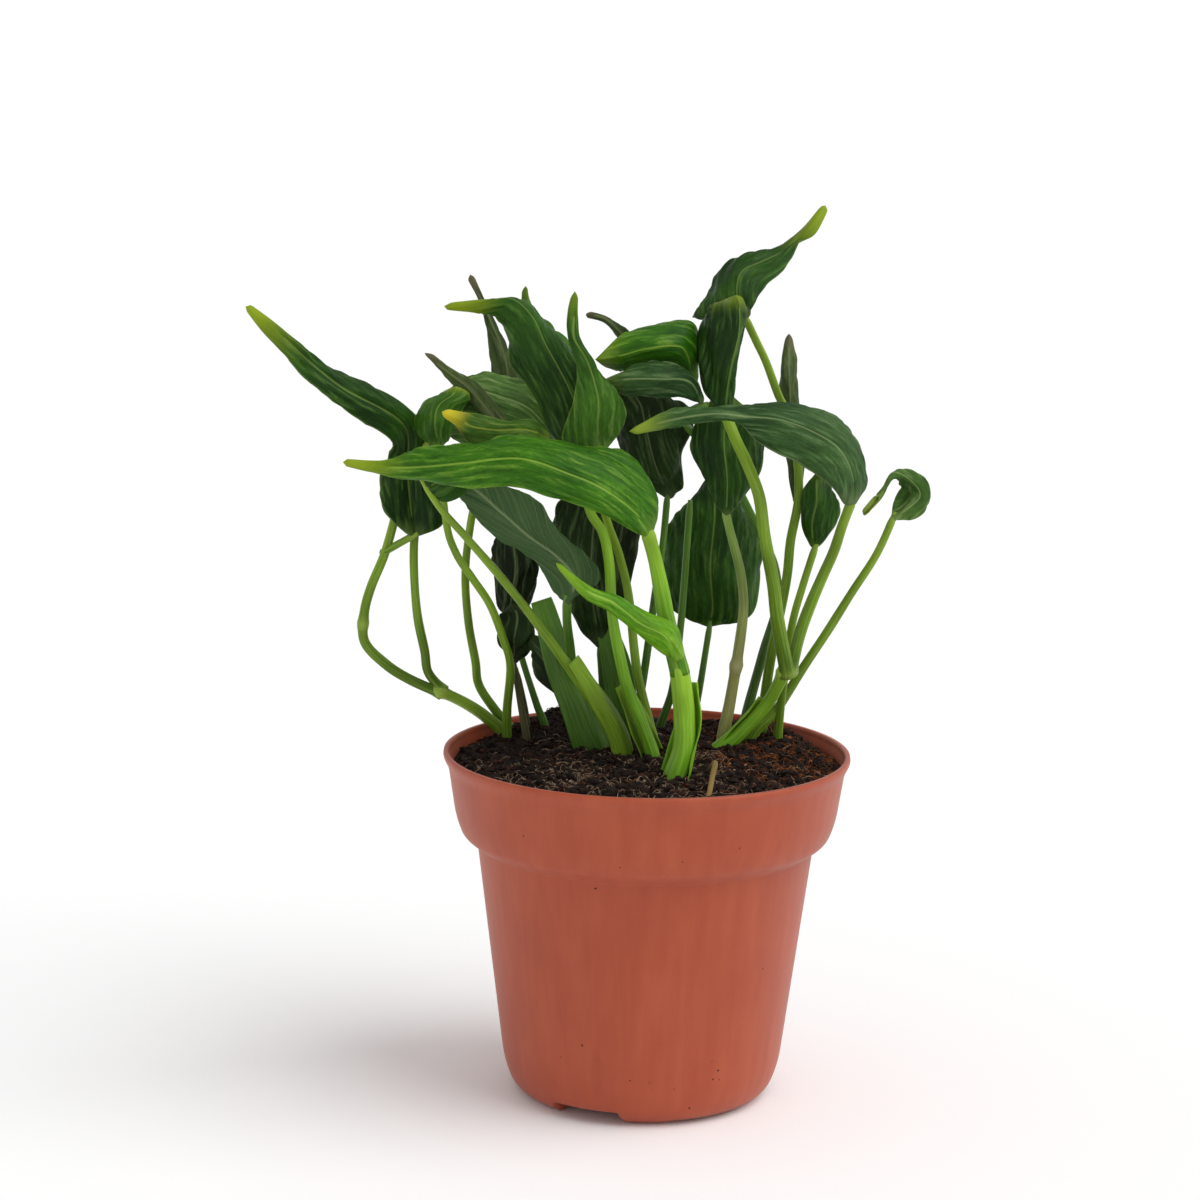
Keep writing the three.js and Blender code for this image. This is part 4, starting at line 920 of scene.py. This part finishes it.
def leaf(name, finish, rows, pleat=0.35, crumple=1.1, wave=0.9, curl=0.0, crease=1.2,
         tip_from=0.86, tip_size=1.0, tip=1.0):
    """A blade from rows of (left margin, midrib, right margin), base first, seen from above with the tip ahead. curl
    bends the margins up (or down, below 0). pleat, crumple, wave and curl are in millimetres. crease is not used. tip
    is how far the tip pales."""
    rails = [[Vector(row[column]) for row in rows] for column in range(3)]
    seed = sum(ord(letter) * (i + 1) for i, letter in enumerate(name)) % 97
    middle = [rail(rails[1], k / BLADE_ROWS) for k in range(BLADE_ROWS + 1)]
    length = sum((b - a).length for a, b in zip(middle, middle[1:]))
    side = (rail(rails[2], 0.5) - rail(rails[0], 0.5)).normalized()
    shares = [-s for s in BLADE_SHARES[:0:-1]] + BLADE_SHARES
    upper, lower, veins, tones, runs = [], [], [], [], []
    narrowest = NARROWEST_HALF * (0.55 + 0.45 * tip_size)
    travelled = 0.0
    for k in range(BLADE_ROWS + 1):
        along = k / BLADE_ROWS
        rib = middle[k]
        if k:
            travelled += (rib - middle[k - 1]).length
        ahead = (middle[min(k + 1, BLADE_ROWS)] - middle[max(k - 1, 0)]).normalized()
        margins = [rail(rails[0], along), rail(rails[2], along)]
        span = margins[1] - margins[0]
        if span.length > 2 * narrowest:
            side = (span - ahead * span.dot(ahead)).normalized()
        halves = []
        for margin, sign in zip(margins, (-1, 1)):
            across = margin - rib
            if across.length < narrowest:
                across = side * sign * narrowest
            normal = across.cross(ahead) * sign
            halves.append((across, normal.normalized()))
        rib_normal = (halves[0][1] + halves[1][1]).normalized()
        tipness = smooth(tip_from - 0.07, tip_from + 0.05, along)
        baseness = 1 - smooth(0.0, 0.12, along)
        rod = max(tipness, baseness)
        # The tip and the base close over a rounded end.
        from_end = min(travelled, length - travelled) / END_ROUNDING
        closing = math.sqrt(1 - (1 - min(from_end, 1)) ** 2) if from_end < 1 else 1.0
        closing = max(closing, 0.08)
        for share in shares:
            out = abs(share)
            across, half_normal = halves[0] if share < 0 else halves[1]
            width = across.length
            lean = smooth(0, 0.3, out)
            normal = (rib_normal * (1 - lean) + half_normal * lean).normalized()
            phase = (travelled - VEIN_SWEEP * width * out * (0.55 + 0.45 * out)) / VEIN_SPACING
            calm = min(1, width / 6) * (1 - rod)
            folds = (abs(math.sin(math.pi * phase)) - 0.55) * pleat * smooth(0.02, 0.3, out)
            crease = noise.noise(Vector((phase * 0.9 + seed, out * width / 9 * (1 if share > 0 else -1),
                                         seed)))
            dents = crease * crumple * smooth(0.03, 0.4, out)
            ripple = math.sin(travelled / RIPPLE_LENGTH + seed + (1.7 if share > 0 else 0)) * wave * out ** 4
            roll = curl * max(0, (out - 0.6) / 0.4) ** 2
            lengthwise = noise.noise(Vector((share * width / CREASE_WIDTH, travelled / CREASE_LENGTH,
                                             seed + 5))) * crease
            lift = (folds + dents + ripple + roll + lengthwise * smooth(0.02, 0.2, out)) * calm
            lift += BLADE_BULGE * width * 4 * out * (1 - out) * (1 - tipness)
            place = rib + across * out * closing + normal * lift
            round_profile = math.sqrt(max(0.0, 1 - out ** 2))
            lamina = BLADE_THICKNESS * (1 - 0.75 * out ** 8)
            thick = lamina * (1 - rod) + ROD_THICKNESS * tip_size * rod * round_profile + 0.1
            thick *= closing
            keel = KEEL_DEPTH * (1 - 0.75 * along) * math.exp(-((out * width / KEEL_HALF_WIDTH) ** 2)) * (1 - tipness)
            furrow = FURROW_DEPTH * (1 - along) * math.exp(-((out * width / FURROW_HALF_WIDTH) ** 2)) * (1 - rod)
            upper.append(place + normal * (thick / 2 - furrow))
            lower.append(place - normal * (thick / 2 + keel * closing))
            veins.append((phase, out * width / 10 + 0.3 * rod))
            paleness = tip * smooth(tip_from - 0.14, 0.98, along)
            tones.append((paleness, smooth(0.94, 1, out) * (1 - rod) + 0.8 * baseness))
            runs.append((share * width / 10 + seed, travelled / 10))
    row = len(shares)
    count = len(upper)
    faces, sides = [], []
    for k in range(BLADE_ROWS):
        for c in range(row - 1):
            a = k * row + c
            faces.append((a, a + 1, a + row + 1, a + row))
            sides.append(0)
            faces.append((count + a, count + a + row, count + a + row + 1, count + a + 1))
            sides.append(1)
        a, b = k * row, (k + 1) * row
        faces.append((a, b, count + b, count + a))
        a, b = a + row - 1, b + row - 1
        faces.append((b, a, count + a, count + b))
        sides.extend((0, 0))
    end = BLADE_ROWS * row
    for c in range(row - 1):
        faces.append((c + 1, c, count + c, count + c + 1))
        faces.append((end + c, end + c + 1, count + end + c + 1, count + end + c))
        sides.extend((0, 0))
    piece = new_piece(name + "_blade", upper + lower, faces, LEAF_FINISHES[finish], sides,
                      {"vein": veins + veins, "tone": tones + tones, "face": runs + runs})
    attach(piece, "root")
    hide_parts(name)


leaf("leaf_far_left", "deep", [
    ((-71, 15, 163), (-70, 16, 163), (-69, 15, 163)),
    ((-79, 10, 172), (-71, 15, 172), (-61, 17, 168)),
    ((-79, 8, 182), (-72, 12, 184), (-64, 17, 181)),
    ((-77, 2, 194), (-73, 6, 198), (-69, 11, 200)),
    ((-91, -8, 205), (-89, -5, 209), (-87, 0, 212)),
    ((-100, -14, 214), (-99, -12, 218), (-97, -9, 219)),
    ((-110, -21, 226), (-108, -20, 228), (-107, -19, 229)),
    ((-115, -24, 233), (-115, -24, 234), (-114, -24, 235)),
], crumple=1.3, crease=1.7)
leaf("leaf_front_arch", "bright", [
    ((-2, -28, 171), (-1, -28, 172), (0, -27, 173)),
    ((-6, -34, 174), (-5, -35, 179), (1, -24, 183)),
    ((-15, -37, 179), (-14, -38, 186), (-5, -23, 192)),
    ((-26, -38, 183), (-23, -39, 190), (-16, -26, 196)),
    ((-39, -37, 186), (-37, -37, 194), (-34, -26, 199)),
    ((-53, -32, 185), (-53, -33, 192), (-51, -26, 197)),
    ((-67, -26, 186), (-66, -28, 190), (-65, -24, 195)),
    ((-78, -21, 187), (-77, -22, 189), (-76, -21, 191)),
    ((-88, -20, 189), (-88, -20, 190), (-88, -20, 191)),
], crumple=1.3, crease=1.9, tip_from=0.9, tip=0.85)
leaf("leaf_hooked", "deep", [
    ((-19, 3, 192), (-18, 3, 192), (-16, 3, 192)),
    ((-29, 0, 196), (-21, -5, 202), (-13, 1, 196)),
    ((-35, 0, 207), (-25, -7, 212), (-17, 1, 209)),
    ((-41, -1, 218), (-31, -9, 223), (-23, -1, 220)),
    ((-43, -3, 226), (-35, -9, 231), (-31, -3, 227)),
    ((-47, -6, 231), (-41, -9, 236), (-36, -5, 233)),
    ((-51, -9, 232), (-49, -10, 235), (-45, -9, 236)),
    ((-60, -12, 233), (-60, -12, 234), (-59, -12, 235)),
], crease=2.4, tip=0.8)
leaf("leaf_behind_hooked", "middle", [
    ((-17, 19, 192), (-15, 19, 192), (-13, 19, 193)),
    ((-27, 19, 198), (-18, 16, 205), (-12, 20, 200)),
    ((-33, 20, 213), (-25, 16, 216), (-19, 20, 213)),
    ((-38, 22, 224), (-32, 18, 225), (-27, 21, 222)),
    ((-39, 24, 231), (-37, 23, 231), (-35, 24, 230)),
    ((-39, 26, 236), (-38, 26, 237), (-38, 26, 236)),
], tip_size=0.6, tip=0.25)
leaf("leaf_centre_spike", "middle", [
    ((-17, -9, 193), (-15, -9, 193), (-13, -9, 194)),
    ((-26, -13, 196), (-16, -14, 201), (-9, -10, 199)),
    ((-23, -14, 208), (-16, -15, 209), (-9, -11, 207)),
    ((-22, -14, 217), (-19, -15, 219), (-15, -13, 216)),
    ((-25, -14, 226), (-23, -15, 226), (-21, -14, 225)),
    ((-25, -14, 233), (-23, -14, 233), (-22, -14, 232)),
    ((-24, -14, 238), (-23, -14, 239), (-22, -14, 238)),
], tip_size=0.7, tip=0.4)
leaf("leaf_olive_spike", "olive", [
    ((-41, 26, 196), (-39, 26, 196), (-37, 26, 196)),
    ((-47, 27, 203), (-42, 24, 206), (-37, 27, 204)),
    ((-48, 30, 214), (-44, 28, 216), (-41, 30, 213)),
    ((-50, 34, 224), (-48, 33, 225), (-46, 34, 223)),
    ((-52, 37, 231), (-51, 37, 231), (-50, 37, 231)),
    ((-56, 41, 238), (-55, 41, 239), (-54, 41, 239)),
], tip_from=0.92, tip_size=0.4)
leaf("leaf_thin_spike", "olive", [
    ((-45, 6, 198), (-44, 6, 198), (-42, 6, 199)),
    ((-51, 6, 202), (-49, 4, 204), (-46, 6, 205)),
    ((-56, 8, 207), (-54, 6, 209), (-52, 8, 210)),
    ((-61, 11, 212), (-60, 10, 213), (-59, 11, 214)),
    ((-66, 14, 217), (-67, 14, 218), (-65, 14, 218)),
], tip_from=0.92, tip_size=0.4)
leaf("leaf_pale_dome", "pale", [
    ((-29, 20, 190), (-28, 20, 192), (-27, 20, 193)),
    ((-39, 14, 190), (-36, 13, 202), (-32, 22, 206)),
    ((-49, 10, 190), (-45, 10, 206), (-39, 22, 209)),
    ((-58, 10, 193), (-54, 10, 208), (-48, 18, 211)),
    ((-64, 10, 199), (-61, 10, 205), (-56, 14, 209)),
    ((-67, 10, 198), (-68, 10, 199), (-67, 11, 200)),
], crumple=1.6, crease=2.0, tip=0.3)
leaf("leaf_cupped", "middle", [
    ((-64, 4, 192), (-62, 4, 192), (-61, 4, 192)),
    ((-68, 6, 196), (-63, -2, 199), (-58, 2, 196)),
    ((-68, 8, 201), (-62, 0, 204), (-55, 2, 203)),
    ((-64, 8, 205), (-58, 2, 207), (-53, 3, 206)),
    ((-60, 7, 208), (-57, 5, 209), (-54, 5, 208)),
], tip=0.8)
leaf("leaf_yellow_tip", "yellow", [
    ((-31, -12, 196), (-30, -12, 197), (-30, -12, 198)),
    ((-37, -16, 194), (-36, -19, 200), (-35, -16, 203)),
    ((-44, -18, 193), (-44, -21, 200), (-41, -18, 202)),
    ((-52, -20, 196), (-51, -22, 201), (-49, -20, 204)),
    ((-56, -21, 201), (-55, -22, 203), (-54, -21, 205)),
    ((-60, -22, 204), (-60, -22, 205), (-59, -22, 206)),
], crumple=1.6, crease=1.6, tip_from=0.78)
leaf("leaf_top_right", "deep", [
    ((26, 10, 230), (27, 10, 230), (28, 10, 231)),
    ((11, 15, 229), (24, 7, 236), (28, 10, 234)),
    ((16, 17, 235), (24, 8, 241), (30, 12, 237)),
    ((19, 18, 242), (26, 11, 244), (33, 13, 240)),
    ((25, 19, 247), (31, 14, 246), (38, 16, 244)),
    ((36, 22, 250), (38, 18, 249), (42, 19, 251)),
    ((43, 24, 255), (45, 22, 255), (47, 22, 254)),
    ((49, 27, 262), (50, 27, 262), (51, 27, 261)),
], crumple=1.6, crease=2.2, tip_from=0.8, tip=0.9)
leaf("leaf_hanging_dark", "deep", [
    ((19, -1, 204), (21, -1, 204), (22, -1, 204)),
    ((16, 1, 208), (21, -4, 209), (23, -2, 209)),
    ((13, 3, 215), (22, -5, 217), (24, -3, 217)),
    ((12, 4, 225), (24, -5, 227), (25, -2, 227)),
    ((16, 5, 233), (24, -4, 234), (26, -1, 233)),
    ((21, 4, 236), (23, 1, 237), (25, 1, 237)),
], crumple=1.4, crease=2.0, tip=0.6)
leaf("leaf_bright_arch", "bright", [
    ((12, 7, 210), (12, 7, 211), (13, 7, 212)),
    ((7, 8, 213), (9, -1, 221), (12, 9, 225)),
    ((3, 9, 214), (5, -4, 223), (9, 6, 229)),
    ((-5, 8, 215), (-3, -5, 222), (0, 2, 229)),
    ((-12, 4, 215), (-10, -5, 220), (-9, -1, 226)),
    ((-16, -6, 218), (-17, -7, 219), (-16, -6, 220)),
], tip_size=0.7, tip=0.35)
leaf("leaf_pleated", "sage", [
    ((14, 0, 206), (14, 0, 206), (15, 0, 207)),
    ((9, -3, 208), (10, -6, 213), (11, -3, 215)),
    ((1, -6, 208), (2, -10, 214), (4, -4, 218)),
    ((-7, -7, 209), (-7, -11, 214), (-5, -6, 217)),
    ((-14, -9, 211), (-15, -10, 213), (-13, -9, 214)),
], crumple=1.4, crease=2.2, tip_size=0.6, tip=0.2)
leaf("leaf_grey_tip", "olive", [
    ((-5, 16, 219), (-4, 16, 220), (-3, 16, 221)),
    ((-10, 18, 223), (-9, 16, 224), (-7, 18, 225)),
    ((-15, 22, 227), (-14, 21, 228), (-13, 22, 228)),
    ((-20, 26, 228), (-20, 26, 229), (-19, 26, 230)),
], tip_from=0.92, tip_size=0.5)
leaf("leaf_right_droop", "sage", [
    ((56, 1, 177), (58, 1, 177), (59, 2, 177)),
    ((52, -7, 183), (58, -5, 185), (62, 5, 184)),
    ((46, -13, 188), (54, -11, 194), (60, 5, 193)),
    ((38, -18, 193), (46, -17, 200), (52, 0, 202)),
    ((29, -21, 198), (36, -21, 204), (41, -7, 207)),
    ((24, -22, 203), (26, -22, 205), (28, -14, 207)),
    ((17, -23, 204), (18, -24, 206), (17, -20, 207)),
    ((7, -24, 202), (8, -26, 205), (8, -23, 208)),
    ((0, -25, 201), (0, -26, 203), (0, -25, 205)),
    ((-6, -27, 200), (-7, -27, 201), (-6, -27, 202)),
], crumple=1.4, crease=2.0, tip_from=0.93, tip=0.85)
leaf("leaf_small_right", "deep", [
    ((48, 20, 161), (49, 20, 161), (50, 20, 161)),
    ((45, 19, 170), (48, 15, 169), (55, 18, 167)),
    ((44, 18, 176), (49, 14, 176), (56, 18, 173)),
    ((46, 18, 180), (49, 16, 181), (54, 18, 178)),
    ((49, 18, 184), (50, 18, 185), (51, 18, 184)),
], tip_size=0.5, tip=0.2)
leaf("leaf_centre_right", "deep", [
    ((21, 3, 174), (22, 3, 173), (23, 3, 174)),
    ((18, 8, 177), (22, 2, 178), (27, 9, 177)),
    ((15, 11, 183), (22, 4, 184), (31, 12, 183)),
    ((12, 12, 191), (21, 5, 193), (33, 13, 192)),
    ((13, 12, 200), (21, 7, 202), (31, 12, 200)),
    ((19, 11, 208), (20, 10, 210), (22, 11, 208)),
], tip=0.2)
leaf("leaf_right_spike", "olive", [
    ((43, 26, 173), (44, 26, 173), (45, 26, 173)),
    ((41, 28, 183), (43, 26, 185), (46, 28, 183)),
    ((38, 30, 195), (42, 26, 197), (46, 30, 195)),
    ((38, 32, 206), (41, 29, 208), (44, 32, 206)),
    ((39, 36, 217), (41, 35, 217), (43, 36, 216)),
    ((40, 39, 222), (41, 39, 223), (42, 39, 222)),
], tip_from=0.92, tip_size=0.5)
leaf("leaf_low_back", "deep", [
    ((18, 44, 132), (19, 44, 132), (20, 44, 132)),
    ((8, 46, 137), (20, 42, 139), (32, 46, 136)),
    ((4, 48, 150), (19, 40, 152), (35, 48, 148)),
    ((6, 48, 162), (20, 42, 166), (34, 48, 160)),
    ((13, 48, 171), (20, 46, 175), (28, 48, 171)),
    ((19, 48, 180), (20, 48, 182), (22, 48, 180)),
], tip_size=0.5, tip=0.0)
leaf("leaf_sage_droop", "sage", [
    ((-23, -6, 149), (-24, -7, 148), (-26, -7, 149)),
    ((-15, -4, 155), (-22, -12, 156), (-29, -8, 154)),
    ((-20, -6, 164), (-27, -15, 163), (-35, -10, 161)),
    ((-28, -8, 171), (-35, -17, 169), (-44, -12, 168)),
    ((-35, -10, 179), (-43, -18, 176), (-53, -13, 176)),
    ((-46, -12, 185), (-52, -16, 183), (-58, -13, 182)),
    ((-61, -13, 187), (-62, -13, 186), (-61, -13, 185)),
], tip=0.1)
# Painted shade: this leaf inside the plant takes the near-black dry finish for the shade it lies in.
leaf("leaf_shaded_left", "dry", [
    ((-43, 29, 137), (-42, 29, 137), (-40, 29, 137)),
    ((-46, 29, 142), (-41, 24, 145), (-35, 28, 142)),
    ((-47, 28, 151), (-40, 22, 154), (-34, 27, 151)),
    ((-46, 27, 160), (-41, 22, 163), (-36, 26, 160)),
    ((-43, 26, 168), (-42, 25, 170), (-41, 26, 168)),
], crumple=1.8, crease=1.2, tip_size=0.6, tip=0.2)
leaf("leaf_low_left", "dry", [
    ((-25, 16, 114), (-24, 16, 114), (-23, 16, 115)),
    ((-30, 18, 118), (-27, 13, 122), (-24, 17, 121)),
    ((-34, 18, 125), (-30, 14, 129), (-26, 17, 128)),
    ((-36, 17, 132), (-35, 17, 134), (-33, 17, 134)),
], crumple=1.8, wave=1.4, crease=1.2, tip_size=0.6, tip=0.2)
leaf("leaf_withered", "dry", [
    ((-42, 23, 124), (-40, 23, 124), (-39, 23, 124)),
    ((-44, 21, 130), (-40, 17, 132), (-36, 20, 130)),
    ((-44, 21, 137), (-39, 17, 139), (-34, 19, 137)),
    ((-42, 21, 142), (-41, 20, 143), (-39, 20, 142)),
], crumple=2.4, wave=1.8, crease=1.5, tip_size=0.6, tip=0.2)
leaf("leaf_young_front", "lime", [
    ((7, -29, 136), (8, -29, 136), (10, -28, 137)),
    ((3, -33, 139), (4, -35, 144), (7, -29, 146)),
    ((-4, -35, 145), (-3, -37, 148), (0, -32, 150)),
    ((-12, -36, 151), (-11, -37, 154), (-9, -34, 155)),
    ((-19, -36, 155), (-18, -37, 157), (-17, -36, 158)),
    ((-27, -37, 164), (-27, -37, 165), (-26, -37, 165)),
], pleat=0.1, crumple=0.3, wave=0.3, crease=0.4, tip=0.5)
leaf("leaf_under_arch", "deep", [
    ((-65, -20, 184), (-64, -20, 183), (-64, -20, 182)),
    ((-64, -20, 190), (-60, -22, 186), (-58, -20, 179)),
    ((-59, -20, 195), (-56, -22, 190), (-52, -20, 183)),
    ((-53, -19, 196), (-51, -19, 194), (-49, -19, 192)),
], tip=0.2)
leaf("leaf_crumpled_back", "dry", [
    ((5, 28, 174), (6, 28, 174), (7, 28, 174)),
    ((-6, 26, 182), (1, 20, 186), (10, 26, 184)),
    ((-12, 22, 195), (-2, 16, 198), (11, 22, 194)),
    ((-13, 18, 203), (-4, 12, 205), (10, 18, 203)),
    ((-12, 16, 208), (-10, 14, 210), (-7, 15, 209)),
], crumple=2.6, wave=2.0, crease=1.5, tip_size=0.6, tip=0.2)
# Painted shade: this leaf inside the plant takes the near-black dry finish for the shade it lies in.
leaf("leaf_inner_dark", "dry", [
    ((-15, 22, 129), (-14, 22, 129), (-12, 22, 129)),
    ((-26, 20, 144), (-17, 15, 148), (-7, 20, 144)),
    ((-30, 18, 161), (-17, 12, 165), (-3, 18, 161)),
    ((-27, 16, 173), (-15, 11, 178), (-3, 16, 175)),
    ((-14, 14, 183), (-12, 13, 185), (-10, 14, 183)),
], crumple=2.2, wave=1.6, crease=1.4, tip_size=0.6, tip=0.2)
leaf("leaf_bud", "pale", [
    ((72, 22, 169), (72, 22, 170), (74, 22, 170)),
    ((73, 25, 175), (76, 20, 173), (79, 23, 171)),
    ((76, 26, 179), (80, 20, 177), (83, 24, 175)),
    ((74, 25, 182), (78, 20, 181), (82, 25, 181)),
    ((71, 20, 181), (72, 20, 184), (75, 23, 184)),
    ((68, 18, 176), (68, 18, 178), (70, 19, 180)),
    ((63, 16, 171), (63, 16, 172), (64, 16, 173)),
], pleat=0.8, crumple=2.4, wave=1.4, crease=1.2, tip=0.6)


# ---- Studio -----------------------------------------------------------------------------
# A plain white table in a white room, lit through one wide window on the right, so the
# pot throws one soft shadow to the left.
def white_table():
    """Matt white laminate, lit to paper white."""
    material, tree, output = new_material("white_table")
    shader = add(tree, "ShaderNodeBsdfPrincipled", {
        "Base Color": (0.97, 0.97, 0.97, 1), "Roughness": 0.8, "Specular IOR Level": 0.1})
    tree.links.new(shader.outputs[0], output.inputs["Surface"])
    return material


TABLE_RADIUS = 30.0
table_mesh = bpy.data.meshes.new("studio_table")
table_ring = [(TABLE_RADIUS * math.cos(math.tau * i / 64), TABLE_RADIUS * math.sin(math.tau * i / 64), 0)
              for i in range(64)]
table_mesh.from_pydata(table_ring, [], [tuple(range(64))])
table_mesh.materials.append(white_table())
table = bpy.data.objects.new("studio_table", table_mesh)
bpy.context.scene.collection.objects.link(table)

world = bpy.data.worlds.new("studio")
world.use_nodes = True
sky = world.node_tree
sky_height = add(sky, "ShaderNodeSeparateXYZ", {0: add(sky, "ShaderNodeTexCoord").outputs["Generated"]})
sky_level = add(sky, "ShaderNodeMapRange", {"Value": sky_height.outputs[2], "From Min": 0.1,
                                            "From Max": 0.6,
                                            "To Min": 1.06, "To Max": 0.55})
sky.nodes["Background"].inputs["Color"].default_value = (1.0, 1.0, 1.0, 1)
sky.links.new(sky_level.outputs[0], sky.nodes["Background"].inputs["Strength"])
bpy.context.scene.world = world
bpy.context.scene.view_settings.view_transform = "Standard"


WINDOW_FROM = Vector((0.57, -0.22, 0.8))  # towards the light
window_data = bpy.data.lights.new("window_light", "SUN")
window_data.energy = 1.75
window_data.angle = math.radians(52)  # as wide as a big window nearby, for a soft shadow
window_light = bpy.data.objects.new("window_light", window_data)
window_light.rotation_euler = (-WINDOW_FROM).to_track_quat("-Z", "Y").to_euler()
bpy.context.scene.collection.objects.link(window_light)

camera_data = bpy.data.cameras.new("camera")
camera_data.lens = 93.84
camera_data.sensor_width = 36
camera = bpy.data.objects.new("camera", camera_data)
CAMERA_TILT = 90 - 10.27
CAMERA_ROLL = 0.91
camera.matrix_world = (Matrix.Translation((-0.0145, -0.900, 0.3109))
                       @ Matrix.Rotation(math.radians(CAMERA_TILT), 4, "X")
                       @ Matrix.Rotation(math.radians(CAMERA_ROLL), 4, "Z"))
bpy.context.scene.collection.objects.link(camera)
bpy.context.scene.camera = camera
